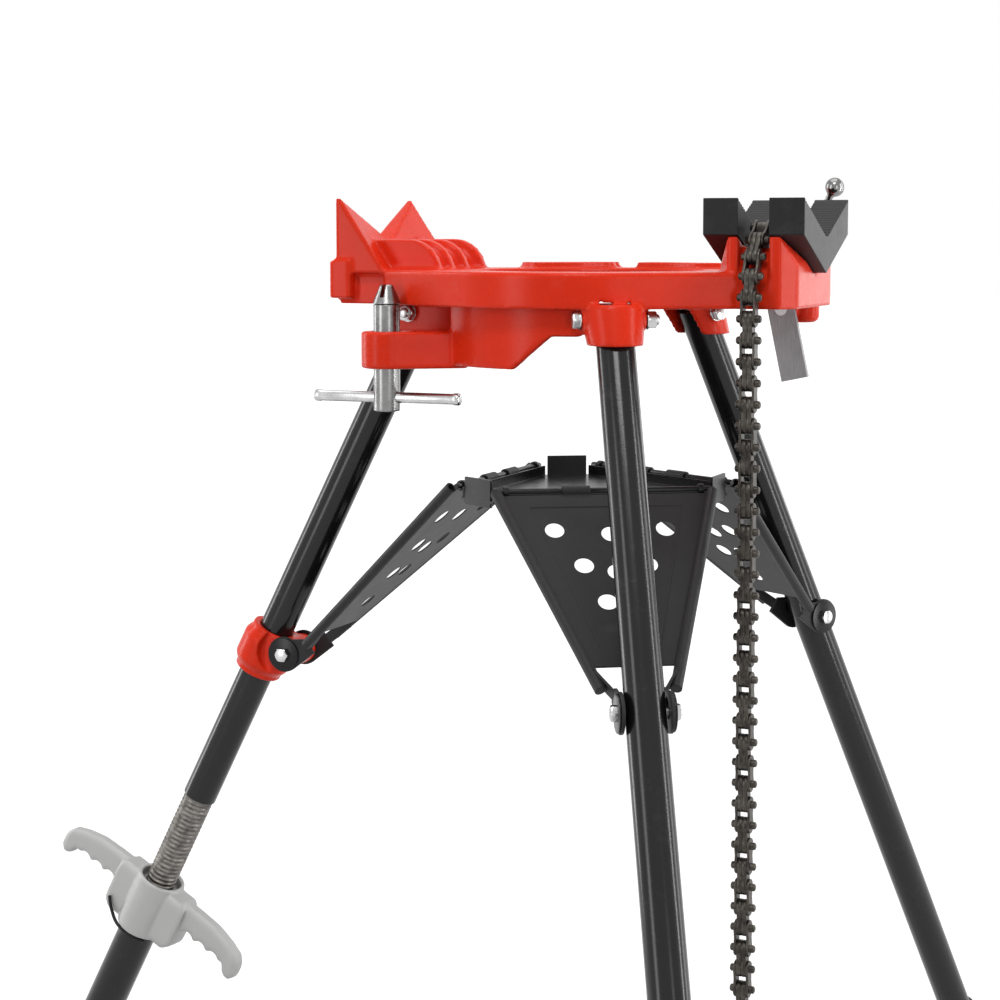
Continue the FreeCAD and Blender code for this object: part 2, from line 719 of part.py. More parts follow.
# ---- jaws ------------------------------------------------------------------------------------
def jaw(side):
    """One V jaw with teeth along the pipe, on one side of the chain plane."""
    half = jaw_span / 2
    slope = jaw_v_depth / half
    count = int(half / tooth_pitch)
    right = []
    for i in range(count):
        y = i * tooth_pitch
        right.append((y, stand_height - jaw_v_depth + y * slope - (tooth_depth if i else 0)))
        right.append((y + tooth_pitch / 2, stand_height - jaw_v_depth + (y + tooth_pitch / 2) * slope))
    right.append((half, stand_height))
    left = [(-y, z) for y, z in right[::-1]]
    outline = left[:-1] + right + [(half, stand_height - jaw_side_height),
                                   (0, stand_height - jaw_side_height - jaw_v_depth),
                                   (-half, stand_height - jaw_side_height)]
    middle = vise_x + side * jaw_spacing / 2
    body = prism_yz(outline, middle - jaw_thickness / 2, middle + jaw_thickness / 2)
    for x, y in jaw_bolt_places():
        start = saddle_top(y, jaw_bolt_diameter)
        body = body.cut(cylinder(V(x, y, start), V(0, 0, 1), jaw_bolt_diameter / 2,
                                 jaw_bolt_depth + jaw_bolt_diameter))
    return body


def jaw_bolt_places():
    """Plan places of the four jaw bolts."""
    reach = (slot_half + saddle_ridge + jaw_bolt_diameter) / 2
    return [(vise_x + sx * (reach + jaw_bolt_diameter / 2), sy * jaw_bolt_spread / 2)
            for sx in (-1, 1) for sy in (-1, 1)]


def jaw_bolts():
    """Socket screws sunk in the saddle's underside, up into the jaws."""
    shapes = []
    for x, y in jaw_bolt_places():
        seat = rim_bottom + jaw_bolt_recess
        tip = saddle_top(y) + jaw_bolt_depth - seat - running_clearance
        shank = cylinder(V(x, y, seat), V(0, 0, 1), jaw_bolt_diameter / 2 - running_clearance, tip)
        head = cylinder(V(x, y, seat - jaw_bolt_head), V(0, 0, 1), jaw_bolt_across / 2, jaw_bolt_head)
        key = hexagon(V(x, y, seat - jaw_bolt_head), V(0, 0, 1), jaw_bolt_socket, jaw_bolt_head / 2)
        shapes.append(shank.fuse(head).cut(key))
    return Part.makeCompound(shapes)


# ---- chain -----------------------------------------------------------------------------------
def link_plate(start, end, x_low, thickness, hole):
    """Waisted chain plate between two pins, with a hole at each."""
    way = V(0, end[0] - start[0], end[1] - start[1])
    across = V(0, -way.z, way.y).normalize()
    a = V(x_low, start[0], start[1])
    b = V(x_low, end[0], end[1])
    waist = across * (chain_waist / 2)
    bar = prism([a + waist, b + waist, b - waist, a - waist], V(thickness, 0, 0))
    for centre in (a, b):
        bar = bar.fuse(cylinder(centre, V(1, 0, 0), chain_plate_height / 2, thickness))
    for centre in (a, b):
        bar = bar.cut(cylinder(centre, V(1, 0, 0), hole, thickness))
    return bar.removeSplitter()


def chain_pin(centre):
    """Extended chain pin with chamfered ends."""
    pin = cylinder(V(vise_x - chain_pin_length / 2, centre[0], centre[1]), V(1, 0, 0),
                   chain_pin_diameter / 2, chain_pin_length)
    return pin.makeChamfer(chain_pin_chamfer,
                           [e for e in pin.Edges if e.BoundBox.XLength < running_clearance])


def chain_links(first, last):
    """Links from one pin number to another: even links are outer plates with their two pins."""
    pins = chain_pins()
    inner = chain_inner_plate
    outer_x = inner + chain_plate_gap
    shapes = []
    for i in range(first, last):
        start, end = pins[i], pins[i + 1]
        if i % 2:
            hole = chain_pin_diameter / 2 + running_clearance
            shapes += [link_plate(start, end, vise_x + x, inner - chain_plate_gap / 2, hole)
                       for x in (-inner, chain_plate_gap / 2)]
        else:
            hole = chain_pin_diameter / 2
            shapes += [link_plate(start, end, vise_x + x, chain_outer_plate, hole)
                       for x in (-outer_x - chain_outer_plate, outer_x)]
            shapes += [chain_pin(end)] + ([chain_pin(start)] if i else [])
    return Part.makeCompound(shapes)


def chain_anchor_pin():
    """Pin that ties the chain's first link to the casting's tongue."""
    return chain_pin(chain_pins()[0])


# ---- tension rod, claw and lever -------------------------------------------------------------
def claw_centre():
    """Centre of the claw's pivot."""
    return V(vise_x, tension_y, stand_height - claw_drop)


def tension_rod():
    """Toothed rod with a flat eye at its top, free to slide in the casting's boss."""
    bottom = stand_height - tension_rod_bottom
    radius = tension_rod_diameter / 2
    rod = cylinder(V(vise_x, tension_y, bottom), V(0, 0, 1), radius,
                   stand_height - tension_rod_top - bottom)
    for i in range(rack_teeth):
        z = stand_height - lever_drop + (i - (rack_teeth - 1) / 2) * rack_pitch
        notch = prism([V(vise_x - radius - rack_depth, 0, z - rack_pitch / 2),
                       V(vise_x - radius + rack_depth, 0, z),
                       V(vise_x - radius - rack_depth, 0, z + rack_pitch / 2)], V(0, far, 0))
        rod = rod.cut(notch)
    c = claw_centre()
    eye = cylinder(c - V(eye_thickness / 2, 0, 0), V(1, 0, 0), eye_radius, eye_thickness)
    neck = box((c.x - eye_thickness / 2, c.y - radius, stand_height - tension_rod_top - radius),
               (c.x + eye_thickness / 2, c.y + radius, c.z))
    body = fuse_all([rod, eye, neck])
    hole = cylinder(c - V(far, 0, 0), V(1, 0, 0), claw_pin_diameter / 2 + running_clearance, 2 * far)
    return body.cut(hole)


def claw():
    """Two notched plates and a bridge that catch the chain's pins."""
    c = claw_centre()
    gap = eye_thickness / 2 + seat_clearance
    outline = [V(0, -claw_reach, -eye_radius), V(0, claw_reach, -eye_radius),
               V(0, claw_reach, claw_height), V(0, -claw_reach, claw_height)]
    shapes = []
    for x in (-gap - claw_plate, gap):
        plate = prism([c + p + V(x, 0, 0) for p in outline], V(claw_plate, 0, 0))
        plate = plate.makeFillet(eye_radius / 2, [e for e in plate.Edges
                                                  if e.BoundBox.XLength > claw_plate / 2])
        for side in (-1, 1):
            centre = c + V(x, side * claw_reach / 2, claw_height / 2 + claw_notch)
            plate = plate.cut(cylinder(centre, V(1, 0, 0), claw_notch, claw_plate))
            plate = plate.cut(box((centre.x, centre.y - claw_notch, centre.z),
                                  (centre.x + claw_plate, centre.y + claw_notch, far)))
        shapes.append(plate)
    bridge_bar = box((c.x - gap - claw_plate, c.y + claw_reach - claw_plate, c.z - eye_radius / 2),
                     (c.x + gap + claw_plate, c.y + claw_reach, c.z + eye_radius))
    body = fuse_all(shapes + [bridge_bar])
    return body.cut(cylinder(c - V(far, 0, 0), V(1, 0, 0), claw_pin_diameter / 2, 2 * far))


def claw_pin():
    """Rivet through the claw and the rod's eye."""
    half = eye_thickness / 2 + seat_clearance + claw_plate
    c = claw_centre()
    return cylinder(c - V(half, 0, 0), V(1, 0, 0), claw_pin_diameter / 2, 2 * half)


def claw_ball():
    """Ball on a short rod at the claw's side."""
    c = claw_centre()
    root = c + V(eye_thickness / 2 + seat_clearance + claw_plate, 0, eye_radius)
    ball = V(vise_x + ball_x, tension_y, stand_height + ball_rise)
    way = ball - root
    rod = cylinder(root, way, ball_rod_diameter / 2, way.Length)
    cheek = box((c.x - far, c.y - far, c.z - far), (root.x, c.y + far, c.z + far))
    knob = Part.makeSphere(ball_diameter / 2, ball)
    return rod.fuse(knob).cut(cheek)


def lever_shaft():
    """Cross shaft with a pinion beside the toothed rod."""
    start = lever_y - lever_thickness / 2
    end = tension_y + tension_boss_radius - rim_round - seat_clearance
    shaft = cylinder(lever_axis(start), side_way, lever_shaft_diameter / 2, end - start)
    low = tension_y - pinion_width / 2
    pinion = cylinder(lever_axis(low), side_way, pinion_radius, pinion_width)
    for i in range(pinion_teeth):
        angle = 2 * math.pi * (i + 0.5) / pinion_teeth
        gap = lever_axis(low) + V(pinion_radius * math.cos(angle), 0, pinion_radius * math.sin(angle))
        pinion = pinion.cut(cylinder(gap, side_way, rack_depth, pinion_width))
    return shaft.fuse(pinion)


def lever():
    """Flat hand lever fixed to the cross shaft's near end, hanging slightly aslant."""
    c = lever_axis(lever_y - lever_thickness / 2)
    half = lever_width / 2
    head = cylinder(c, side_way, half, lever_thickness)
    bar = box((c.x - half, c.y, c.z - lever_length), (c.x + half, c.y + lever_thickness, c.z))
    body = head.fuse(bar).removeSplitter()
    body = body.cut(cylinder(c, side_way, lever_shaft_diameter / 2, lever_thickness))
    body.rotate(c, V(0, -1, 0), lever_tilt)
    return body


# ---- brace screw -----------------------------------------------------------------------------
def brace_screw():
    """Vertical screw through the lug, cross-drilled for its bar, with a bore for the nub."""
    top = stand_height - brace_screw_top
    bottom = stand_height - brace_screw_bottom
    rod = cylinder(V(brace_x, brace_y, bottom), V(0, 0, 1), brace_screw_diameter / 2, top - bottom)
    rod = rod.makeChamfer(brace_screw_chamfer, [e for e in rod.Edges
                                                if abs(e.BoundBox.ZMax - bottom) < running_clearance])
    cross = cylinder(V(brace_x - far, brace_y, stand_height - brace_bar_drop), V(1, 0, 0),
                     brace_bar_diameter / 2 + running_clearance, 2 * far)
    bore = cylinder(V(brace_x, brace_y, top - nub_spigot_length - running_clearance), V(0, 0, 1),
                    nub_spigot_radius + running_clearance, nub_spigot_length + rim_round)
    return rod.cut(cross).cut(bore)


def brace_nub():
    """Swivelling tip that seats inside the end of a brace pipe."""
    base = stand_height - brace_screw_top + seat_clearance
    cone = Part.makeCone(nub_base_radius, nub_top_radius, nub_height, V(brace_x, brace_y, base), V(0, 0, 1))
    cone = cone.makeFillet(nub_round, [e for e in cone.Edges
                                       if abs(e.BoundBox.ZMin - base - nub_height) < running_clearance])
    slit = box((brace_x - nub_slot / 2, brace_y - far, base + nub_slot_floor),
               (brace_x + nub_slot / 2, brace_y + far, far))
    spigot = cylinder(V(brace_x, brace_y, base - nub_spigot_length), V(0, 0, 1),
                      nub_spigot_radius, nub_spigot_length)
    return cone.cut(slit).fuse(spigot)


def brace_bar():
    """Sliding cross bar with upset ends."""
    z = stand_height - brace_bar_drop
    half = brace_bar_length / 2
    radius = brace_bar_diameter / 2
    bar = cylinder(V(brace_x - half, brace_y, z), V(1, 0, 0), radius, 2 * half)
    return bar.makeFillet(brace_bar_round, [e for e in bar.Edges if e.BoundBox.XLength < running_clearance])


# ---- legs ------------------------------------------------------------------------------------
def leg_tube(pivot_radius, end, outer, inner):
    """Round tube of a leg from beyond its pivot to an end, cross-drilled for the pivot bolt."""
    start = leg_point(pivot_radius, -leg_top)
    tube = pipe(start, leg_down, outer, inner, end + leg_top)
    return tube.cut(pivot_hole(pivot_radius))


def tube_end(outer_radius):
    """Where a tube with a square end stops, so that its foot stays under it."""
    return leg_length - (foot_cup + outer_radius * leg_sin) / leg_cos


def front_leg(azimuth):
    """Front leg tube with holes for the pivot bolt and the wing bolt."""
    tube = leg_tube(front_pivot_radius, tube_end(leg_radius), leg_radius, leg_radius - leg_wall)
    pin = wing_pin_point(front_pin)
    hole = cylinder(pin - V(0, far, 0), side_way, wing_pin_diameter / 2 + running_clearance, 2 * far)
    return turned(tube.cut(hole), azimuth)


def foot(pivot_radius, azimuth, tube_radius):
    """Moulded foot: a sleeve around the tube's end with a flat underside on the floor."""
    end = tube_end(tube_radius)
    outer = tube_radius + (foot_outer - leg_diameter) / 2
    start = leg_point(pivot_radius, end - foot_sleeve)
    body = cylinder(start, leg_down, outer, foot_sleeve + 2 * foot_outer)
    body = body.common(box((-far, -far, 0), (far, far, far)))
    rim = [e for e in body.Edges if e.BoundBox.ZMin > foot_cup]
    body = body.makeFillet(washer_thickness, [e for e in rim if hasattr(e.Curve, "Radius")])
    socket = cylinder(start, leg_down, tube_radius, foot_sleeve)
    return turned(body.cut(socket), azimuth)


def pivot_bolts():
    """Three hexagon bolts, one through each socket, with washers under their heads."""
    shapes = []
    for azimuth, radius in leg_places():
        reach = bolt_reach(radius)
        shank_end = reach + pivot_nut_height
        seat = V(radius, -reach - washer_thickness, pivot_z)
        shank = cylinder(seat, side_way, pivot_bolt_diameter / 2, shank_end + reach + 2 * washer_thickness)
        head = hexagon(seat, V(0, -1, 0), pivot_bolt_across, pivot_bolt_head)
        shapes.append(turned(shank.fuse(head), azimuth))
    return Part.makeCompound(shapes)


def pivot_nuts():
    """Nuts on the pivot bolts."""
    shapes = []
    for azimuth, radius in leg_places():
        seat = V(radius, bolt_reach(radius) + washer_thickness, pivot_z)
        nut = hexagon(seat, side_way, pivot_bolt_across, pivot_nut_height)
        bore = cylinder(seat - V(0, far, 0), side_way, pivot_bolt_diameter / 2, 2 * far)
        shapes.append(turned(nut.cut(bore), azimuth))
    return Part.makeCompound(shapes)


def pivot_washers():
    """Two washers on each pivot bolt."""
    shapes = []
    for azimuth, radius in leg_places():
        reach = bolt_reach(radius)
        for y in (-reach - washer_thickness, reach):
            shapes.append(turned(pipe(V(radius, y, pivot_z), side_way, pivot_washer_diameter / 2,
                                      pivot_bolt_diameter / 2, washer_thickness), azimuth))
    return Part.makeCompound(shapes)


def bolt_reach(pivot_radius):
    """Half length over the socket's cheeks where the pivot bolt passes."""
    if pivot_radius == rear_pivot_radius:
        return cheek_outer
    slope = (socket_top_radius - socket_bottom_radius) / (socket_bottom_drop - socket_top_drop)
    return socket_top_radius - slope * (pivot_drop - socket_top_drop - pivot_washer_diameter / 2)


def spot_faces():
    """Flat bosses on the front sockets under the washers."""
    reach = bolt_reach(front_pivot_radius)
    shapes = []
    for azimuth in (-front_azimuth, front_azimuth):
        for side in (-1, 1):
            start = V(front_pivot_radius, side * socket_half, pivot_z)
            shapes.append(turned(cylinder(start, V(0, side, 0), pivot_washer_diameter / 2,
                                          reach - socket_half), azimuth))
    return shapes


# ---- rear leg --------------------------------------------------------------------------------
def rear_upper_leg():
    """Upper tube of the rear leg, in the row's own plane."""
    tube = leg_tube(rear_pivot_radius, rear_upper_end, leg_radius, leg_radius - leg_wall)
    return turned(tube, rear_azimuth)


def rod_radius():
    """Radius of the levelling screw, which fits inside the upper tube."""
    return leg_radius - leg_wall - rod_clearance


def levelling_screw():
    """Threaded rod fixed in the upper tube, shown with ring grooves for its thread."""
    radius = rod_radius()
    start = rear_upper_end - rod_insert
    rod = cylinder(leg_point(rear_pivot_radius, start), leg_down, radius, rod_length)
    groove_at = rear_upper_end + thread_groove_pitch
    while groove_at < start + rod_length - thread_groove_pitch:
        ring_cut = Part.makeCone(radius, radius - thread_groove_depth, thread_groove_pitch / 2,
                                 leg_point(rear_pivot_radius, groove_at), leg_down)
        half_way = leg_point(rear_pivot_radius, groove_at + thread_groove_pitch / 2)
        ring_cut = ring_cut.fuse(Part.makeCone(radius - thread_groove_depth, radius,
                                               thread_groove_pitch / 2, half_way, leg_down))
        collar_cut = cylinder(leg_point(rear_pivot_radius, groove_at), leg_down, radius + leg_wall,
                              thread_groove_pitch).cut(ring_cut)
        rod = rod.cut(collar_cut)
        groove_at += thread_groove_pitch
    return turned(rod, rear_azimuth)


def rear_lower_tube():
    """Lower tube of the rear leg, which slides over the levelling screw."""
    outer = lower_tube_diameter / 2
    end = tube_end(outer)
    tube = pipe(leg_point(rear_pivot_radius, lower_tube_start), leg_down, outer, outer - lower_tube_wall,
                end - lower_tube_start)
    return turned(tube, rear_azimuth)


def wing_nut():
    """Cast wing nut on the levelling screw, resting on the lower tube."""
    hub_length = lower_tube_start - nut_hub_top
    bore = cylinder(V(0, 0, -far), V(0, 0, 1), rod_radius() + running_clearance, 2 * far)
    cup = cylinder(V(0, 0, hub_length / 2 - nut_collar_depth), V(0, 0, 1), nut_collar_bore, far)
    return on_leg(nut_profile(hub_length).cut(bore).cut(cup))


def nut_profile(hub_length):
    """Wing nut about its own axis, wings along X: hub, flat lobes and hooked, scalloped wings."""
    half = hub_length / 2
    hub = cylinder(V(0, 0, -half), V(0, 0, 1), nut_hub_radius, hub_length)
    hub = hub.makeFillet(nut_round, [e for e in hub.Edges if e.BoundBox.ZLength < running_clearance])
    wing = prism_xz(list(nut_wing_outline), -nut_wing_thickness / 2, nut_wing_thickness / 2)
    low = min(z for x, z in nut_wing_outline[-2:-1])
    for x in nut_scallops:
        wing = wing.cut(cylinder(V(x, -far, low + nut_scallop_depth - nut_scallop_radius), side_way,
                                 nut_scallop_radius, 2 * far))
    other = wing.mirror(V(0, 0, 0), V(1, 0, 0))
    right = list(nut_lobe_outline)
    left = [(-x, z) for x, z in right[::-1]]
    lobes = prism_xz(right + left, -nut_lobe_thickness / 2, nut_lobe_thickness / 2)
    lobes = lobes.makeFillet(2 * nut_round,
                             [e for e in lobes.Edges if e.BoundBox.YLength < running_clearance])
    return fuse_all([hub, lobes, wing, other])


def on_leg(shape):
    """Move a shape from the wing nut's own axes onto the rear leg."""
    copy = shape.copy()
    copy.rotate(V(0, 0, 0), V(0, 0, 1), nut_turn)
    copy.rotate(V(0, 0, 0), V(0, 1, 0), -leg_splay)
    copy.translate(leg_point(rear_pivot_radius, (nut_hub_top + lower_tube_start) / 2))
    return turned(copy, rear_azimuth)


def wire_clip():
    """Bent wire that ties the wing nut to the lower tube."""
    curve = Part.BSplineCurve()
    curve.interpolate([V(-x, y, z) for x, z, y in clip_path])
    path = Part.Wire([curve.toShape()])
    start = curve.value(curve.FirstParameter)
    way = curve.tangent(curve.FirstParameter)[0]
    section = Part.Wire([Part.makeCircle(clip_wire / 2, start, way)])
    return on_leg(path.makePipeShell([section], True, True))


# ---- rear collar -----------------------------------------------------------------------------
def wing_pin_point(pin):
    """Centre of a wing pin in the leg's own frame."""
    return V(pin[0], 0, stand_height - pin[1])


def rear_collar():
    """Barrel-shaped collar clamped on the rear leg, with a tongue for the wing pin."""
    middle = along_leg(rear_pin[1])
    axis_start = leg_point(rear_pivot_radius, middle - collar_length / 2)
    barrel = cylinder(axis_start, leg_down, collar_bulge, collar_length)
    ball_radius = math.hypot(collar_bulge, collar_length / 4)
    barrel = barrel.common(Part.makeSphere(ball_radius, leg_point(rear_pivot_radius, middle)))
    sleeve = cylinder(axis_start, leg_down, collar_radius, collar_length)
    half = ear_gap - seat_clearance
    pin = wing_pin_point(rear_pin)
    middle_point = leg_point(rear_pivot_radius, middle)
    tongue = prism([V(pin.x, -half, pin.z + collar_tongue_radius),
                    V(middle_point.x, -half, middle_point.z + collar_tongue_radius),
                    V(middle_point.x, -half, middle_point.z - collar_tongue_radius),
                    V(pin.x, -half, pin.z - collar_tongue_radius)], V(0, 2 * half, 0))
    end = cylinder(V(pin.x, -half, pin.z), side_way, collar_tongue_radius, 2 * half)
    body = fuse_all([barrel, sleeve, tongue, end])
    body = body.cut(cylinder(axis_start, leg_down, leg_radius, collar_length))
    swing = ear_radius + slot_travel + washer_thickness / 2
    for sign in (-1, 1):
        body = body.cut(cylinder(V(pin.x, sign * half, pin.z), V(0, sign, 0), swing, far))
    pin_hole = cylinder(pin - V(0, far, 0), side_way, wing_pin_diameter / 2 + running_clearance, 2 * far)
    screw_hole = cylinder(middle_point - V(0, far, 0), side_way, collar_screw_diameter / 2, far)
    return turned(body.cut(pin_hole).cut(screw_hole), rear_azimuth)


def collar_screw():
    """Set screw that clamps the collar to the leg, sunk in the collar's side."""
    middle = leg_point(rear_pivot_radius, along_leg(rear_pin[1]))
    length = collar_radius - leg_radius + washer_thickness
    screw = cylinder(middle - V(0, leg_radius + length, 0), side_way, collar_screw_diameter / 2, length)
    key = hexagon(middle - V(0, leg_radius + length, 0), side_way, collar_screw_diameter / 2,
                  washer_thickness)
    return turned(screw.cut(key), rear_azimuth)


# ---- tray ------------------------------------------------------------------------------------
def tray_plate():
    """Six-sided pan with three raised corners that carry the hinge rods."""
    z = stand_height - tray_hinge_drop - tray_recess
    corners = []
    for k in range(3):
        for side in (-1, 1):
            corner = V(tray_corner_radius, side * tray_corner_half, z)
            corners.append(turned(Part.Vertex(corner), 120 * k).Point)
    pan = prism(corners, V(0, 0, tray_thickness))
    rise = tray_recess + corner_flange_rise
    flange = box((tray_corner_radius - tray_thickness, -corner_flange_half, z - corner_flange_drop),
                 (tray_corner_radius, corner_flange_half, z + rise))
    pieces = [pan] + [turned(flange, 120 * k) for k in range(3)]
    web_x = tray_apothem - knuckle_outer / 2 - seat_clearance - tray_thickness
    hinge_z = stand_height - tray_hinge_drop
    for azimuth in (-front_azimuth, front_azimuth, rear_azimuth):
        web = box((web_x, -hinge_rod_half + tray_thickness, z), (web_x + tray_thickness,
                                                                hinge_rod_half - tray_thickness, hinge_z))
        lugs = []
        for side in (-1, 1):
            y = side * (hinge_rod_half - knuckle_length / 2)
            lug = box((web_x, y - tray_thickness, z),
                      (tray_apothem - wing_thickness, y + tray_thickness, hinge_z))
            lugs.append(lug.fuse(cylinder(V(tray_apothem, y - tray_thickness, hinge_z), side_way,
                                          knuckle_outer / 2, 2 * tray_thickness)))
        pieces += [turned(shape, azimuth) for shape in [web] + lugs]
    body = fuse_all(pieces)
    for azimuth in (-front_azimuth, front_azimuth, rear_azimuth):
        body = body.cut(turned(cylinder(V(tray_apothem, -far, hinge_z), side_way,
                                        hinge_rod_diameter / 2, 2 * far), azimuth))
    return body


def hinge_rods():
    """Three rods along the tray's long edges."""
    z = stand_height - tray_hinge_drop
    rod = cylinder(V(tray_apothem, -hinge_rod_half, z), side_way, hinge_rod_diameter / 2, 2 * hinge_rod_half)
    return Part.makeCompound([turned(rod, a) for a in (-front_azimuth, front_azimuth, rear_azimuth)])


def wing(pin):
    """Perforated wing from a hinge rod down to a leg's pin, in the leg's own frame.

    It is drawn flat with X from the hinge rod to the pin, then tilted about the rod.
    """
    length = math.hypot(pin[0] - tray_apothem, pin[1] - tray_hinge_drop)
    slope = math.degrees(math.atan2(pin[1] - tray_hinge_drop, pin[0] - tray_apothem))
    drop = math.degrees(math.asin(wing_drop / length))
    tip_y = ear_gap + ear_thickness + seat_clearance
    plate_end = length - panel_clear
    bend = length - wing_washer_diameter / 2 - slot_travel
    tip_half = tip_y + (wing_hinge_half - tip_y) * panel_clear / length
    base = -wing_thickness / 2
    start = knuckle_outer / 2 + seat_clearance
    edge = [V(start, -wing_hinge_half, base), V(plate_end, -tip_half, base),
            V(plate_end, tip_half, base), V(start, wing_hinge_half, base)]
    panel = prism(edge, V(0, 0, wing_thickness))
    inset = [V(start + panel_inset, -wing_hinge_half + 2 * panel_inset, 0),
             V(plate_end - panel_inset, -tip_half + panel_inset, 0),
             V(plate_end - panel_inset, tip_half - panel_inset, 0),
             V(start + panel_inset, wing_hinge_half - 2 * panel_inset, 0)]
    panel = panel.cut(prism([p + V(0, 0, -base - panel_depth) for p in inset], V(0, 0, panel_depth)))
    for share, offset in hole_places:
        for y in {-offset, offset}:
            panel = panel.cut(cylinder(V(length * share, y, -far), V(0, 0, 1), hole_radius, 2 * far))
    pieces = [panel]
    cuts = []
    radius = wing_edge_tube / 2
    lift = radius + base - panel_depth
    for side in (-1, 1):
        a = V(start, side * wing_hinge_half, lift)
        b = V(length - edge_clear, side * (tip_y + (wing_hinge_half - tip_y) * edge_clear / length), lift)
        pieces.append(cylinder(a, b - a, radius, (b - a).Length))
        way = (b - a).normalize()
        cuts.append(cylinder(a - way * radius, way, wing_edge_bore / 2, a.distanceToPoint(b) - edge_plug))
        y = side * (ear_gap + ear_thickness / 2) - ear_thickness / 2
        near = length - edge_clear - ear_radius
        spread = (wing_hinge_half - tip_y) * (length - near) / length
        tail = prism([V(near, y + side * spread, lift - radius), V(near, y + side * spread, lift + radius),
                      V(near, y + side * spread + ear_thickness, lift + radius),
                      V(near, y + side * spread + ear_thickness, lift - radius)],
                     V(bend - near, -side * spread, 0))
        pieces.append(tail)
    for side in (-1, 1):
        place = side * knuckle_place - knuckle_length / 2
        pieces.append(box((0, place, base), (start + panel_inset / 2, place + knuckle_length,
                                             base + wing_thickness)))
    sheet = fuse_all(pieces)
    for cut in cuts:
        sheet = sheet.cut(cut)
    sheet.rotate(V(0, 0, 0), side_way, drop)
    pieces = [sheet]
    for side in (-1, 1):
        y = side * (ear_gap + ear_thickness / 2) - ear_thickness / 2
        root = bend - ear_thickness
        ear = cylinder(V(length, y, 0), side_way, ear_radius, ear_thickness)
        web = prism([V(root, y, -wing_drop - radius), V(length, y, -ear_radius), V(length, y, ear_radius),
                     V(root, y, radius - wing_drop / 2)], V(0, ear_thickness, 0))
        pieces += [ear, web]
    for side in (-1, 1):
        place = V(0, side * knuckle_place - knuckle_length / 2, 0)
        pieces.append(cylinder(place, side_way, knuckle_outer / 2, knuckle_length))
    body = fuse_all(pieces)
    slot_radius = wing_pin_diameter / 2 + slot_slack
    low = -ear_gap - ear_thickness - seat_clearance
    room = box((length - slot_travel, low, -slot_radius), (length, -low, slot_radius))
    for x in (length - slot_travel, length):
        room = room.fuse(cylinder(V(x, low, 0), side_way, slot_radius, -2 * low))
    body = body.cut(room)
    body = body.cut(cylinder(V(0, -far, 0), side_way, hinge_rod_diameter / 2 + running_clearance, 2 * far))
    body.rotate(V(0, 0, 0), side_way, slope)
    body.translate(V(tray_apothem, 0, stand_height - tray_hinge_drop))
    return body


def wing_bolt(pin):
    """Bolt, nut and two wide washers that hold a wing's ears to its leg or collar."""
    c = wing_pin_point(pin)
    ear_outer = ear_gap + ear_thickness
    end = ear_outer + seat_clearance + washer_thickness
    radius = wing_pin_diameter / 2
    shank = cylinder(c - V(0, end, 0), side_way, radius, 2 * end)
    pieces = [shank]
    for side in (-1, 1):
        way = V(0, side, 0)
        pieces.append(cylinder(c + way * (ear_outer + seat_clearance), way, wing_washer_diameter / 2,
                               washer_thickness))
        pieces.append(hexagon(c + way * end, way, wing_bolt_across, wing_bolt_head))
    return fuse_all(pieces)


# ---- assembly --------------------------------------------------------------------------------
def all_parts():
    """Every sub-part by the name of its node."""
    casting = base_casting()
    for face in spot_faces():
        casting = casting.fuse(face)
    for azimuth, radius in leg_places():
        casting = casting.cut(turned(pivot_hole_span(radius), azimuth))
    parts = {"base_casting": casting.removeSplitter(),
             "vise_jaw_inner": jaw(-1), "vise_jaw_outer": jaw(1), "jaw_bolts": jaw_bolts(),
             "chain_anchor_lug": anchor_lug(), "chain_anchor_pin": chain_anchor_pin(),
             "tension_rod": tension_rod(), "chain_claw": claw(), "claw_pin": claw_pin(),
             "claw_ball": claw_ball(), "lever_shaft": lever_shaft(), "tension_lever": lever(),
             "brace_screw": brace_screw(), "brace_nub": brace_nub(),
             "brace_bar": brace_bar(), "leg_pivot_bolts": pivot_bolts(), "leg_pivot_nuts": pivot_nuts(),
             "leg_pivot_washers": pivot_washers()}
    first = len(chain_turns)
    parts["chain_slot_links"] = chain_links(0, first)
    for run in range(chain_runs):
        start = first + run * chain_run_links
        parts["chain_run_%d" % (run + 1)] = chain_links(start, start + chain_run_links)
    for name, azimuth in (("near", -front_azimuth), ("far", front_azimuth)):
        parts["front_leg_" + name] = front_leg(azimuth)
        parts["front_foot_" + name] = foot(front_pivot_radius, azimuth, leg_radius)
        parts["front_wing_" + name] = turned(wing(front_pin), azimuth)
        parts["front_wing_bolt_" + name] = turned(wing_bolt(front_pin), azimuth)
    parts["rear_upper_leg"] = rear_upper_leg()
    parts["levelling_screw"] = levelling_screw()
    parts["levelling_wing_nut"] = wing_nut()
    parts["wire_clip"] = wire_clip()
    parts["rear_lower_tube"] = rear_lower_tube()
    parts["rear_foot"] = foot(rear_pivot_radius, rear_azimuth, lower_tube_diameter / 2)
    parts["rear_collar"] = rear_collar()
    parts["collar_screw"] = collar_screw()
    parts["rear_wing"] = turned(wing(rear_pin), rear_azimuth)
    parts["rear_wing_bolt"] = turned(wing_bolt(rear_pin), rear_azimuth)
    parts["tray_plate"] = tray_plate()
    parts["tray_hinge_rods"] = hinge_rods()
    return parts


def centre_shift(parts):
    """Move that puts the middle of the assembled box over the origin."""
    whole = Part.makeCompound(list(parts.values())).optimalBoundingBox(True, False)
    return V(-(whole.XMin + whole.XMax) / 2, 0, 0)


parts = all_parts()
shift = centre_shift(parts)
os.makedirs("parts", exist_ok=True)
for name, shape in parts.items():
    shape.translate(shift)
    shape.exportStep("parts/%s.step" % name)
print("parts", len(parts), "shift", [round(v, 3) for v in shift])
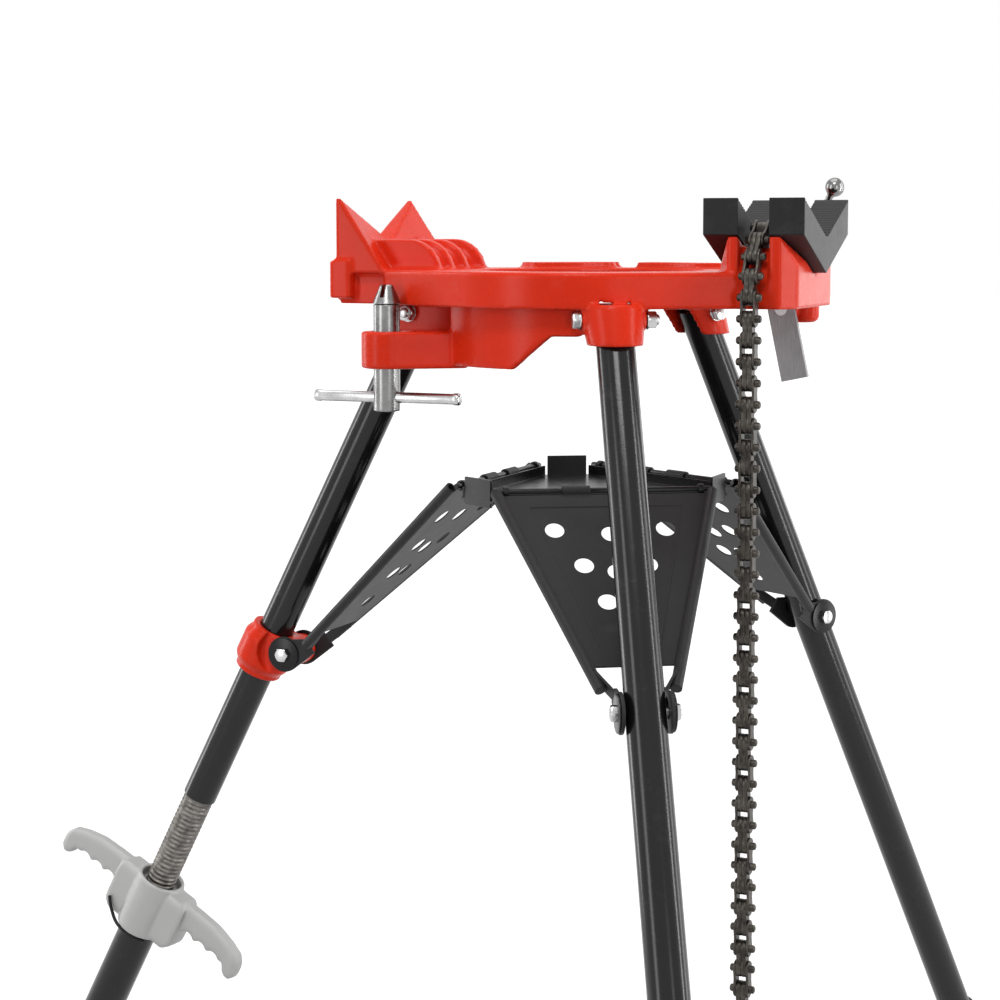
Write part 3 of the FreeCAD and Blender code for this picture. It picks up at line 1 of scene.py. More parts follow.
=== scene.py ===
"""Tripod pipe vise stand: its finished pieces, their materials and a plain studio.

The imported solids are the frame. Each operator makes one piece or a group of like pieces in metres,
in the frame's own axes: X along the pipe from the rest to the jaws, Y across it and Z up.
"""
import json
import math

import bmesh
import bpy
import numpy as np
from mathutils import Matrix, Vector


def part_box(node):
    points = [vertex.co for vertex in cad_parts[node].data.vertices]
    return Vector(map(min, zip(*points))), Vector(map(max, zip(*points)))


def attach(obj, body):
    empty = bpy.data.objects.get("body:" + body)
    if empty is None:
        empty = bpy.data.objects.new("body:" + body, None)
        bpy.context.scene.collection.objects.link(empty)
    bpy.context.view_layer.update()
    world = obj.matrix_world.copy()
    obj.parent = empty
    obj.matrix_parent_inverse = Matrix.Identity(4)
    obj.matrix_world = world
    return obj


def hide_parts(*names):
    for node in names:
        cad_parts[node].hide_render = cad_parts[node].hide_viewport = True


bl_info = {
    "name": "Tripod pipe vise stand",
    "version": (1, 0, 0),
    "blender": (4, 5, 0),
    "location": "View3D > Sidebar > Vise stand",
    "description": "Makes the stand's finished pieces around its packed solids",
    "category": "Object",
}

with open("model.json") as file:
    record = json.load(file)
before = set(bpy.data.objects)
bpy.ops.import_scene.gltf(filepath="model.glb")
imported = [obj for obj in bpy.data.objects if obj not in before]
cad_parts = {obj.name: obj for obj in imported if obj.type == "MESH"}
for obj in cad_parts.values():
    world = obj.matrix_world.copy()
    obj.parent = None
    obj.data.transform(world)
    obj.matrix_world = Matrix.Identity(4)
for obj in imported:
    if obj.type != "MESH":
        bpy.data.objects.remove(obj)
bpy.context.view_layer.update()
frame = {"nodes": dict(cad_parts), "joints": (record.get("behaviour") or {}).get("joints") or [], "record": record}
JOINTS = {joint["name"]: joint for joint in frame["joints"]}
BODIES = frame["record"]["behaviour"]["bodies"]
BODY_OF = {node: body for body, nodes in BODIES.items() for node in nodes}

# ---- places on the stand, in metres ----
UP = np.array([0.0, 0.0, 1.0])
STAND_HEIGHT = 0.965
TRIPOD_X = 0.163927               # the tripod's axis
VISE_X = 0.349627                 # the chain's plane
LEG_SPLAY = math.radians(26.84)
LEG_COS = math.cos(LEG_SPLAY)
LEG_SIN = math.sin(LEG_SPLAY)
PIVOT_DROP = 0.1088
PIVOT_Z = STAND_HEIGHT - PIVOT_DROP
LEG_LENGTH = PIVOT_Z / LEG_COS
FRONT_RADIUS = 0.1387
REAR_RADIUS = 0.1753
LEG_TUBE = 0.0175
LOWER_TUBE = 0.0205
LEGS = {"near": (-60.0, FRONT_RADIUS), "far": (60.0, FRONT_RADIUS), "rear": (180.0, REAR_RADIUS)}
WING_PINS = {"near": (0.300, 0.430), "far": (0.300, 0.430), "rear": (0.321, 0.459)}
BOLT_REACH = {"near": 0.02978, "far": 0.02978, "rear": 0.0312}
CHAIN_PITCH = 0.01905
CHAIN_ANCHOR = (-0.048, STAND_HEIGHT - 0.027)
CHAIN_TURNS = (35.0, 50.0, 65.0, 78.0, 87.0)
CHAIN_RUN_LINKS = 8
CHAIN_RUNS = 5


# ---- sizes and colours ----
def length(name, description, default):
    """A length in metres for a property group."""
    return bpy.props.FloatProperty(name=name, description=description, default=default,
                                   subtype="DISTANCE", unit="LENGTH", min=0.0, precision=5)


def colour(name, description, default):
    """A linear colour for a property group."""
    return bpy.props.FloatVectorProperty(name=name, description=description, default=default,
                                         subtype="COLOR", size=3, min=0.0, max=1.0)


class StandSizes(bpy.types.PropertyGroup):
    """Sizes of the details that the finished pieces add to the solids."""
    casting_grid: length("Casting grid", "Spacing of the points on the head casting", 0.0020)
    collar_grid: length("Collar grid", "Spacing of the points on the rear leg's collar", 0.0009)
    nut_grid: length("Wing nut grid", "Spacing of the points on the wing nut", 0.0011)
    plate_edge: length("Plate edge", "Rounding of the edges of steel plates", 0.0004)
    jaw_edge: length("Jaw edge", "Rounding of the jaws' edges", 0.0007)
    thread_pitch: length("Thread pitch", "Rise of the levelling screw's thread in one turn", 0.005)
    thread_depth: length("Thread depth", "Depth of the levelling screw's thread", 0.0013)
    plate_chamfer: length("Link chamfer", "Eased edge of a chain plate", 0.0005)
    wire_radius: length("Wire radius", "Radius of the bent wire clip", 0.00175)


class StandColours(bpy.types.PropertyGroup):
    """Colours of the finishes."""
    casting_red: colour("Casting red", "Enamel on the castings", (0.72, 0.030, 0.008))
    enamel_black: colour("Enamel black", "Enamel on the legs and the tray", (0.008, 0.008, 0.009))
    wing_black: colour("Wing black", "Satin enamel on the wings", (0.020, 0.020, 0.021))
    jaw_black: colour("Jaw black", "Black oxide on the jaws", (0.009, 0.009, 0.010))
    chain_brown: colour("Chain brown", "Oiled steel of the chain", (0.045, 0.040, 0.034))
    zinc: colour("Zinc", "Bright plated steel", (0.50, 0.50, 0.505))
    dull_zinc: colour("Dull zinc", "Plated steel of the brace screw", (0.22, 0.22, 0.218))
    aluminium: colour("Aluminium", "Cast aluminium of the wing nut", (0.43, 0.43, 0.425))
    thread_grey: colour("Thread grey", "Dull steel of the levelling screw", (0.13, 0.122, 0.112))
    lever_grey: colour("Lever grey", "Bare steel of the lever", (0.24, 0.24, 0.245))
    rubber_black: colour("Rubber black", "Rubber of the feet", (0.018, 0.018, 0.018))


# ---- surfaces ----
def sheet(points, wrap_rows=False, wrap_columns=False):
    """Quads over a grid of points (rows, columns, 3); each way round may close on itself."""
    rows, columns = points.shape[:2]
    index = np.arange(rows * columns).reshape(rows, columns)
    if wrap_rows:
        index = np.vstack([index, index[:1]])
    if wrap_columns:
        index = np.hstack([index, index[:, :1]])
    quads = np.stack([index[:-1, :-1], index[1:, :-1], index[1:, 1:], index[:-1, 1:]], axis=-1)
    return points.reshape(-1, 3), quads.reshape(-1, 4)


def basis(axis, towards=(0.0, 0.0, 1.0)):
    """Columns of a frame whose third axis is given and whose first leans towards a second one."""
    third = np.asarray(axis, float) / np.linalg.norm(axis)
    first = np.asarray(towards, float) - third * np.dot(towards, third)
    if np.linalg.norm(first) < 1e-6:
        first = np.array([1.0, 0.0, 0.0]) - third * third[0]
    first /= np.linalg.norm(first)
    return np.stack([first, np.cross(third, first), third], axis=1)


def placed(part, origin, turn):
    """A surface taken from its own axes to the stand's."""
    points, quads = part
    return points @ turn.T + np.asarray(origin, float), quads


def joined(parts):
    """Several surfaces as one set of points and quads."""
    starts = np.cumsum([0] + [len(points) for points, _ in parts[:-1]])
    points = np.vstack([points for points, _ in parts])
    return points, np.vstack([quads + start for (_, quads), start in zip(parts, starts)])


def turned_profile(profile, around=32, wrap=False):
    """A profile of (height, radius) turned about the third axis.

    Point (i, a) is (radius_i cos a, radius_i sin a, height_i). An end of radius 0 is a pole.
    """
    height, radius = np.asarray(profile, float).T
    angle = np.linspace(0, 2 * np.pi, around, endpoint=False)
    points = np.stack([radius[:, None] * np.cos(angle), radius[:, None] * np.sin(angle),
                       np.repeat(height[:, None], around, axis=1)], axis=-1)
    return sheet(points, wrap_rows=wrap, wrap_columns=True)


def eased(corners, radius, steps=3):
    """A profile with its inner corners rounded.

    Near corner b the curve is (1-t)^2 p + 2t(1-t) b + t^2 q, p and q being a radius from b on its two sides.
    """
    corners = np.asarray(corners, float)
    before, corner, after = corners[:-2], corners[1:-1], corners[2:]
    back = before - corner
    ahead = after - corner
    back_length = np.linalg.norm(back, axis=1, keepdims=True)
    ahead_length = np.linalg.norm(ahead, axis=1, keepdims=True)
    p = corner + back / back_length * np.minimum(radius, back_length * 0.45)
    q = corner + ahead / ahead_length * np.minimum(radius, ahead_length * 0.45)
    t = np.linspace(0, 1, steps)[:, None, None]
    curve = (1 - t) ** 2 * p + 2 * t * (1 - t) * corner + t ** 2 * q
    middle = curve.transpose(1, 0, 2).reshape(-1, corners.shape[1])
    return np.vstack([corners[:1], middle, corners[-1:]])


def smooth_path(knots, count):
    """Catmull-Rom curve through points: between b and c it is the cubic with tangents (c-a)/2, (d-b)/2."""
    knots = np.asarray(knots, float)
    padded = np.vstack([2 * knots[:1] - knots[1:2], knots, 2 * knots[-1:] - knots[-2:-1]])
    place = np.linspace(0, len(knots) - 1, count)
    step = np.minimum(place.astype(int), len(knots) - 2)
    t = (place - step)[:, None]
    a, b, c, d = (padded[step + k] for k in range(4))
    return 0.5 * (2 * b + (c - a) * t + (2 * a - 5 * b + 4 * c - d) * t ** 2
                  + (3 * b - a - 3 * c + d) * t ** 3)


def tube(path, radii, around=12):
    """A round section carried along a path, with closed ends.

    Point (i, a) is path_i + radius_i (u_i cos a + v_i sin a), with u and v square to the path.
    """
    path = np.asarray(path, float)
    radii = np.broadcast_to(np.asarray(radii, float), len(path))
    way = np.gradient(path, axis=0)
    way /= np.linalg.norm(way, axis=1, keepdims=True)
    side = np.cross(way, basis(way[len(way) // 2])[:, 0])
    side /= np.linalg.norm(side, axis=1, keepdims=True)
    other = np.cross(way, side)
    path = np.vstack([path[:1], path, path[-1:]])
    side, other = (np.vstack([axis[:1], axis, axis[-1:]]) for axis in (side, other))
    radii = np.concatenate([[0], radii, [0]])
    angle = np.linspace(0, 2 * np.pi, around, endpoint=False)
    ring = side[:, None] * np.cos(angle)[:, None] + other[:, None] * np.sin(angle)[:, None]
    return sheet(path[:, None] + radii[:, None, None] * ring, wrap_columns=True)


def hex_head(across, height, around=48):
    """A hexagonal head or nut with bevelled corners and a slightly domed top.

    Its radius at angle a is half the width over cos(a), a taken from the nearest flat's middle,
    and never more than a bound that falls towards the top.
    """
    rows = np.array([[0.0, 0.0], [0.0, 0.560], [0.06, 0.580], [0.72, 0.580], [0.86, 0.545], [0.96, 0.495],
                     [1.0, 0.440], [1.06, 0.20], [1.08, 0.0]])
    angle = np.linspace(0, 2 * np.pi, around, endpoint=False)
    flat = 0.5 / np.cos((angle + np.pi / 6) % (np.pi / 3) - np.pi / 6)
    radius = np.minimum(rows[:, 1:], flat[None]) * across
    level = np.repeat(rows[:, :1] * height, around, axis=1)
    points = np.stack([radius * np.cos(angle), radius * np.sin(angle), level], axis=-1)
    return sheet(points, wrap_columns=True)


def rounded_section(x, top, bottom, half, power=5.0, around=40):
    """A bar along X whose section is a superellipse between two heights.

    Point (i, a) is (x_i, half_i S(cos a), middle_i + rise_i S(sin a)) with S(s) = sign(s)|s|^(2/power),
    middle and rise being half the sum and half the difference of top and bottom. Its ends are closed.
    """
    angle = np.linspace(0, 2 * np.pi, around, endpoint=False)
    across = np.sign(np.cos(angle)) * np.abs(np.cos(angle)) ** (2 / power)
    along = np.sign(np.sin(angle)) * np.abs(np.sin(angle)) ** (2 / power)
    middle = (top + bottom) / 2
    rise = (top - bottom) / 2
    x, half, middle, rise = (np.concatenate([v[:1], v, v[-1:]]) for v in (x, half, middle, rise))
    half[[0, -1]] = 0
    rise[[0, -1]] = 0
    points = np.stack([np.repeat(x[:, None], around, axis=1), half[:, None] * across,
                       middle[:, None] + rise[:, None] * along], axis=-1)
    return sheet(points, wrap_columns=True)


# ---- objects ----
def new_object(name, mesh):
    """An object at the origin for a mesh."""
    made = bpy.data.objects.new(name, mesh)
    bpy.context.scene.collection.objects.link(made)
    return made


def shade(mesh, angle):
    """Smooth faces that meet at less than an angle, in degrees."""
    mesh.polygons.foreach_set("use_smooth", np.ones(len(mesh.polygons), bool))
    mesh.set_sharp_from_angle(angle=math.radians(angle))


def solid(name, part, material, body, stands_for=(), crease=38.0):
    """A closed object from a surface: seams and poles merged, faces outwards, on its body."""
    points, quads = part
    mesh = bpy.data.meshes.new(name)
    mesh.from_pydata(points.tolist(), [], quads.tolist())
    work = bmesh.new()
    work.from_mesh(mesh)
    bmesh.ops.remove_doubles(work, verts=work.verts, dist=1e-6)
    bmesh.ops.dissolve_degenerate(work, edges=work.edges, dist=1e-7)
    bmesh.ops.recalc_face_normals(work, faces=work.faces)
    work.to_mesh(mesh)
    work.free()
    shade(mesh, crease)
    made = new_object(name, mesh)
    return settle(made, material, body, stands_for)


def settle(made, material, body, stands_for=()):
    """Finish, body and replaced nodes of a new piece."""
    made.data.materials.clear()
    made.data.materials.append(material)
    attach(made, body)
    if stands_for:
        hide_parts(*stands_for)
    return made


def merged_copy(name, node, pierced=False):
    """A copy of a node's mesh, merged, its flat faces whole or, where pierced, in even triangles."""
    mesh = frame["nodes"][node].data.copy()
    mesh.name = name
    work = bmesh.new()
    work.from_mesh(mesh)
    bmesh.ops.remove_doubles(work, verts=work.verts, dist=1e-6)
    bmesh.ops.dissolve_limit(work, angle_limit=math.radians(0.5), verts=work.verts, edges=work.edges)
    if pierced:
        bmesh.ops.triangulate(work, faces=work.faces, quad_method="BEAUTY", ngon_method="BEAUTY")
    work.to_mesh(mesh)
    work.free()
    return new_object(name, mesh)


def apply_modifiers(made):
    """The object's mesh as its modifiers leave it."""
    bpy.context.view_layer.update()
    seen = made.evaluated_get(bpy.context.evaluated_depsgraph_get())
    mesh = bpy.data.meshes.new_from_object(seen)
    made.modifiers.clear()
    made.data = mesh


def soften(made, grid, rounds):
    """Lay a piece's surface on an even grid, then relax it so that its edges soften."""
    remesh = made.modifiers.new("even grid", "REMESH")
    remesh.mode = "VOXEL"
    remesh.voxel_size = grid
    relax = made.modifiers.new("soft edges", "SMOOTH")
    relax.factor = 0.5
    relax.iterations = rounds
    apply_modifiers(made)
    made.data.polygons.foreach_set("use_smooth", np.ones(len(made.data.polygons), bool))


def cast_piece(name, node, grid, rounds, material):
    """A node as a casting with softened edges."""
    made = merged_copy(name, node)
    soften(made, grid, rounds)
    return settle(made, material, BODY_OF[node], (node,))


def machined_piece(name, node, edge, material, pierced=False):
    """A node with its sharp edges broken by a narrow rounded bevel."""
    made = merged_copy(name, node, pierced)
    bevel = made.modifiers.new("broken edges", "BEVEL")
    bevel.width = edge
    bevel.segments = 2
    bevel.limit_method = "ANGLE"
    bevel.angle_limit = math.radians(35)
    bevel.use_clamp_overlap = False
    bevel.miter_outer = "MITER_ARC"
    apply_modifiers(made)
    shade(made.data, 60)
    flatten = made.modifiers.new("flat faces stay flat", "WEIGHTED_NORMAL")
    flatten.weight = 100
    flatten.keep_sharp = True
    apply_modifiers(made)
    return settle(made, material, BODY_OF[node], (node,))


# ---- shader maths ----
class Value:
    """A shader socket that adds Math nodes when it is used in an expression."""

    def __init__(self, finish, socket):
        self.finish = finish
        self.socket = socket

    def maths(self, operation, first, second=0.0, clamp=False):
        settings = {"operation": operation, "use_clamp": clamp}
        return self.finish.node("ShaderNodeMath", settings, {0: first, 1: second})

    def __add__(self, other):
        return self.maths("ADD", self, other)

    def __sub__(self, other):
        return self.maths("SUBTRACT", self, other)

    def __rsub__(self, other):
        return self.maths("SUBTRACT", other, self)

    def __mul__(self, other):
        return self.maths("MULTIPLY", self, other)

    def __truediv__(self, other):
        return self.maths("DIVIDE", self, other)

    def clamped(self):
        return self.maths("ADD", self, 0.0, clamp=True)

    def most(self, other):
        return self.maths("MAXIMUM", self, other)

    def ramp(self, low, high):
        """0 below low, 1 above high and straight between them."""
        return ((self - low) / (high - low)).clamped()

    __radd__ = __add__
    __rmul__ = __mul__


class Finish:
    """A material under construction: one method adds any node, and expressions do the maths."""

    def __init__(self, name):
        self.material = bpy.data.materials.new(name)
        self.material.use_nodes = True
        self.tree = self.material.node_tree
        self.tree.nodes.clear()
        self.place = self.node("ShaderNodeTexCoord", output="Object")

    def node(self, kind, settings=None, inputs=None, output=0):
        """Add a node, its settings first, then the values or links of its sockets."""
        made = self.tree.nodes.new(kind)
        for key, value in (settings or {}).items():
            setattr(made, key, value)
        for key, value in (inputs or {}).items():
            if isinstance(value, Value):
                self.tree.links.new(value.socket, made.inputs[key])
            else:
                made.inputs[key].default_value = value
        return Value(self, made.outputs[output]) if len(made.outputs) else made

    def noise(self, scale, detail=4.0, rough=0.55, stretch=None):
        """Noise of about the given number of blotches per metre, from 0 to 1."""
        place = self.place
        if stretch:
            place = self.node("ShaderNodeMapping", {}, {"Vector": place, "Scale": stretch})
        return self.node("ShaderNodeTexNoise", {}, {"Vector": place, "Scale": scale, "Detail": detail,
                                                    "Roughness": rough})

    def cells(self, scale):
        """Distance to the nearest of scattered points, in cells."""
        return self.node("ShaderNodeTexVoronoi", {}, {"Vector": self.place, "Scale": scale})

    def mix(self, share, first, second):
        """Colour between two, by a share."""
        return self.node("ShaderNodeMix", {"data_type": "RGBA"}, {0: share, 6: first, 7: second}, 2)

    def bump(self, height, strength, distance, below=None):
        """A normal raised by a height, on top of another normal if one is given."""
        inputs = {"Height": height, "Strength": strength, "Distance": distance}
        if below is not None:
            inputs["Normal"] = below
        return self.node("ShaderNodeBump", {}, inputs)

    def shader(self, **sockets):
        """Principled shader wired to the surface. Names give their sockets, with _ for a space."""
        names = {key.replace("_", " "): value for key, value in sockets.items()}
        surface = self.node("ShaderNodeBsdfPrincipled", {}, names)
        self.node("ShaderNodeOutputMaterial", {}, {"Surface": surface})
        return self.material


def rgba(base, gain=1.0):
    """A colour with alpha, made lighter or darker by a gain."""
    return tuple(min(1.0, channel * gain) for channel in base) + (1.0,)


def enamel(name, base, ripple=0.5, gloss=0.16, grit=0.0, shine=0.3):
    """Glossy enamel: tone that drifts a little, orange-peel ripples, and dust in a few places."""
    f = Finish(name)
    drift = f.noise(9.0, 3.0)
    tone = f.mix(drift.ramp(0.3, 0.7), rgba(base, 0.92), rgba(base, 1.08))
    dust = f.noise(34.0, 6.0, 0.7).ramp(0.58, 0.80)
    tone = f.mix(dust * 0.05, tone, rgba((0.35, 0.33, 0.31)))
    peel = f.noise(420.0, 2.0)
    normal = f.bump(peel, ripple, 0.00012)
    if grit:
        normal = f.bump(f.noise(150.0, 5.0, 0.65), grit, 0.0006, normal)
    rough = gloss + f.noise(60.0, 4.0) * 0.10 + dust * 0.12
    return f.shader(Base_Color=tone, Roughness=rough, Normal=normal, Specular_IOR_Level=shine)


def oxide(name, base):
    """Black oxide on ground steel: faint grinding lines and rubbed patches."""
    f = Finish(name)
    lines = f.noise(90.0, 3.0, stretch=(1.0, 14.0, 14.0))
    rubbed = f.noise(55.0, 6.0, 0.7).ramp(0.52, 0.78)
    tone = f.mix(rubbed * 0.30, rgba(base), rgba((0.06, 0.06, 0.062)))
    tone = f.mix(lines.ramp(0.45, 0.75) * 0.25, tone, rgba(base, 2.2))
    normal = f.bump(lines, 0.18, 0.00015, f.bump(f.noise(700.0, 3.0), 0.12, 0.0001))
    rough = 0.36 + rubbed * 0.10 + f.noise(240.0, 4.0) * 0.12
    return f.shader(Base_Color=tone, Roughness=rough, Normal=normal, Specular_IOR_Level=0.2)


def oiled_steel(name, base):
    """Dark oiled steel: brown film of uneven thickness over rolled metal."""
    f = Finish(name)
    film = f.noise(130.0, 5.0, 0.65)
    tone = f.mix(film.ramp(0.35, 0.7), rgba(base, 0.55), rgba(base, 1.9))
    worn = f.noise(420.0, 4.0, 0.7).ramp(0.60, 0.80)
    tone = f.mix(worn * 0.5, tone, rgba((0.21, 0.18, 0.14)))
    normal = f.bump(f.noise(900.0, 3.0), 0.2, 0.0001)
    rough = 0.30 + film * 0.22
    return f.shader(Base_Color=tone, Roughness=rough, Normal=normal, Metallic=0.75)


def plated(name, base, gloss=0.17):
    """Zinc plate: clouded brightness and fine turning marks."""
    f = Finish(name)
    cloud = f.noise(80.0, 5.0, 0.6)
    tone = f.mix(cloud.ramp(0.3, 0.75), rgba(base, 0.80), rgba(base, 1.12))
    marks = f.noise(1500.0, 2.0)
    rough = gloss + cloud * 0.14 + f.noise(600.0, 4.0).ramp(0.6, 0.8) * 0.10
    return f.shader(Base_Color=tone, Roughness=rough, Normal=f.bump(marks, 0.05, 0.00005), Metallic=1.0)


def cast_metal(name, base):
    """As-cast aluminium: sandy skin, satin gloss and smudges from hands."""
    f = Finish(name)
    skin = f.noise(520.0, 6.0, 0.7)
    pits = f.cells(900.0).ramp(0.05, 0.30)
    smudge = f.noise(28.0, 5.0, 0.6).ramp(0.45, 0.8)
    tone = f.mix(smudge * 0.30, rgba(base), rgba(base, 0.78))
    tone = f.mix((1 - pits) * 0.25, tone, rgba(base, 0.6))
    normal = f.bump(skin, 0.35, 0.0004, f.bump(pits, 0.12, 0.0002))
    rough = 0.46 + skin * 0.16 - smudge * 0.06
    return f.shader(Base_Color=tone, Roughness=rough, Normal=normal, Metallic=0.35)


def bare_steel(name, base, stretch=(14.0, 14.0, 1.0)):
    """Cold-rolled steel: long rolling lines and a thin grey film."""
    f = Finish(name)
    lines = f.noise(110.0, 4.0, stretch=stretch)
    film = f.noise(45.0, 5.0, 0.6)
    tone = f.mix(lines.ramp(0.3, 0.7), rgba(base, 0.85), rgba(base, 1.15))
    tone = f.mix(film.ramp(0.5, 0.8) * 0.3, tone, rgba((0.17, 0.16, 0.15)))
    rough = 0.34 + film * 0.16
    return f.shader(Base_Color=tone, Roughness=rough, Normal=f.bump(lines, 0.12, 0.0001), Metallic=0.85)


def rubber(name, base):
    """Moulded rubber: dull skin with a fine grain and dusty patches."""
    f = Finish(name)
    dusty = f.noise(50.0, 6.0, 0.65).ramp(0.45, 0.75)
    tone = f.mix(dusty * 0.35, rgba(base), rgba((0.10, 0.095, 0.088)))
    normal = f.bump(f.noise(800.0, 4.0), 0.3, 0.0002)
    return f.shader(Base_Color=tone, Roughness=0.62 + dusty * 0.2, Normal=normal)


FINISHES = {}


def finishes():
    """Every material of the stand by its slot, made once."""
    if FINISHES:
        return FINISHES
    c = bpy.context.scene.stand_colours
    FINISHES.update(
        casting_red=enamel("red enamel on cast iron", c.casting_red, 0.35, 0.22, 0.10, 0.13),
        leg_black=enamel("black enamel on tube", c.enamel_black, 0.25, 0.13),
        tray_sheet=enamel("black enamel on sheet", c.enamel_black, 0.30, 0.20, shine=0.2),
        wing_sheet=enamel("satin enamel on wing sheet", c.wing_black, 0.30, 0.44, shine=0.2),
        jaw_steel=oxide("black oxide on jaw steel", c.jaw_black),
        chain_steel=oiled_steel("oiled chain steel", c.chain_brown),
        zinc_steel=plated("bright zinc plate", c.zinc),
        dull_zinc=plated("dull zinc plate", c.dull_zinc, 0.20),
        cast_aluminium=cast_metal("cast aluminium", c.aluminium),
        foot_rubber=rubber("moulded rubber", c.rubber_black),
        lever_steel=bare_steel("rolled lever steel", c.lever_grey),
        clip_wire=oxide("black spring wire", c.enamel_black),
        ball_chrome=plated("polished ball steel", c.dull_zinc, 0.10),
        levelling_thread=oiled_steel("oiled thread steel", c.thread_grey),
    )
    return FINISHES


def finish_node(node):
    """Give a solid that stays in view the material of its slot."""
    slots = {part["node"]: part["material_slot"] for part in frame["record"]["subparts"]}
    mesh = frame["nodes"][node].data
    mesh.materials.clear()
    mesh.materials.append(finishes()[slots[node]])


# ---- places worked out from the stand's sizes ----
def leg_axes(leg):
    """Outward, sideways and downward axes of a leg, and its pivot."""
    azimuth, radius = LEGS[leg]
    angle = math.radians(azimuth)
    outward = np.array([math.cos(angle), math.sin(angle), 0.0])
    side = np.array([-math.sin(angle), math.cos(angle), 0.0])
    down = outward * LEG_SIN - UP * LEG_COS
    pivot = outward * radius + np.array([TRIPOD_X, 0.0, PIVOT_Z])
    return outward, side, down, pivot


def pin_place(leg):
    """Centre of the pin that ties a wing to a leg."""
    outward = leg_axes(leg)[0]
    radius, drop = WING_PINS[leg]
    return outward * radius + np.array([TRIPOD_X, 0.0, STAND_HEIGHT - drop])


def nut_axes():
    """Centre and axes of the wing nut: X along its wings, Z up the leg."""
    turn = math.radians(-5.3)
    spin = np.array([[math.cos(turn), -math.sin(turn), 0], [math.sin(turn), math.cos(turn), 0], [0, 0, 1.0]])
    tilt = np.array([[LEG_COS, 0, -LEG_SIN], [0, 1, 0], [LEG_SIN, 0, LEG_COS]])
    half_turn = np.diag([-1.0, -1.0, 1.0])
    return np.array(JOINTS["wing_nut_turn"]["pos_m"], float), half_turn @ tilt @ spin


def chain_places():
    """(y, z) of every chain pin, from the anchor down the slot and then straight down."""
    falls = np.radians(np.concatenate([CHAIN_TURNS, np.full(CHAIN_RUN_LINKS * CHAIN_RUNS, 90.0)]))
    steps = CHAIN_PITCH * np.stack([-np.cos(falls), -np.sin(falls)], axis=1)
    return np.vstack([CHAIN_ANCHOR, np.array(CHAIN_ANCHOR) + np.cumsum(steps, axis=0)])


# ---- chain ----
def link_plate(start, end, x_low, x_high, chamfer, around=20):
    """A waisted plate between two pins, its edges eased.

    Its half height at distance y from the middle is that of the round ends, the square root of
    R^2 - (|y| - p/2)^2, or in the waist w + (R - w)(2y/p)^4, whichever is more.
    """
    round_end, waist, half_pitch = 0.0075, 0.00525, CHAIN_PITCH / 2
    angle = np.linspace(0, 2 * np.pi, around, endpoint=False)
    y = (half_pitch + round_end) * np.cos(angle)
    arc = np.sqrt(np.maximum(round_end ** 2 - (np.abs(y) - half_pitch) ** 2, 0.0))
    neck = waist + (round_end - waist) * (y / half_pitch) ** 4
    height = np.maximum(arc, np.where(np.abs(y) < half_pitch, np.minimum(neck, round_end), 0.0))
    outline = np.stack([y, np.sign(np.sin(angle)) * height], axis=1)
    norm = np.linalg.norm(outline, axis=1, keepdims=True)
    inset = outline * (1 - chamfer / norm)
    rows = [outline * 0, inset, outline, outline, inset, outline * 0]
    levels = [x_low, x_low, x_low + chamfer, x_high - chamfer, x_high, x_high]
    way = (np.asarray(end) - start) / CHAIN_PITCH
    middle = (np.asarray(end) + start) / 2
    rings = []
    for row, level in zip(rows, levels):
        flat = middle + row[:, :1] * way + row[:, 1:] * np.array([-way[1], way[0]])
        rings.append(np.column_stack([np.full(around, VISE_X + level), flat]))
    return sheet(np.array(rings), wrap_columns=True)


def link_pin(place):
    """A chain pin with shouldered, domed ends: its profile turned about X."""
    half = 0.0115
    profile = [(-half, 0.0), (-half, 0.0019), (-half + 0.0005, 0.0029), (-half + 0.0014, 0.0035),
               (half - 0.0014, 0.0035), (half - 0.0005, 0.0029), (half, 0.0019), (half, 0.0)]
    return placed(turned_profile(profile, 12), (VISE_X, *place), basis((1, 0, 0)))


def chain_stretch(first, last):
    """The links between two pins: even links are outer plates with two pins, odd ones inner plates."""
    places = chain_places()
    chamfer = bpy.context.scene.stand_sizes.plate_chamfer
    inner, gap, outer = 0.0045, 0.00015, 0.0023
    parts = []
    for i in range(first, last):
        if i % 2:
            spans = ((-inner, -gap / 2), (gap / 2, inner))
        else:
            spans = ((-inner - gap - outer, -inner - gap), (inner + gap, inner + gap + outer))
            parts += [link_pin(places[i + 1])] + ([link_pin(places[i])] if i else [])
        parts += [link_plate(places[i], places[i + 1], low, high, chamfer) for low, high in spans]
    return joined(parts)


# ---- operators ----
class StandOperator:
    """What every operator of the stand shares."""
    bl_options = {"REGISTER", "UNDO"}


class STAND_OT_head(StandOperator, bpy.types.Operator):
    """Cast the head: ring, pipe rest, bender, sockets, saddle and brace arm"""
    bl_idname = "stand.head"
    bl_label = "Head casting"

    def execute(self, context):
        grid = context.scene.stand_sizes.casting_grid
        cast_piece("head_casting", "base_casting", grid, 3, finishes()["casting_red"])
        return {"FINISHED"}


class STAND_OT_collar(StandOperator, bpy.types.Operator):
    """Cast the collar on the rear leg and sink its set screw"""
    bl_idname = "stand.collar"
    bl_label = "Rear collar"

    def execute(self, context):
        grid = context.scene.stand_sizes.collar_grid
        cast_piece("leg_collar", "rear_collar", grid, 14, finishes()["casting_red"])
        finish_node("collar_screw")
        return {"FINISHED"}


class STAND_OT_jaws(StandOperator, bpy.types.Operator):
    """Machine the two toothed jaws and their screws"""
    bl_idname = "stand.jaws"
    bl_label = "Jaws"

    def execute(self, context):
        edge = context.scene.stand_sizes.jaw_edge
        for side in ("inner", "outer"):
            machined_piece("jaw_" + side, "vise_jaw_" + side, edge, finishes()["jaw_steel"])
        finish_node("jaw_bolts")
        return {"FINISHED"}


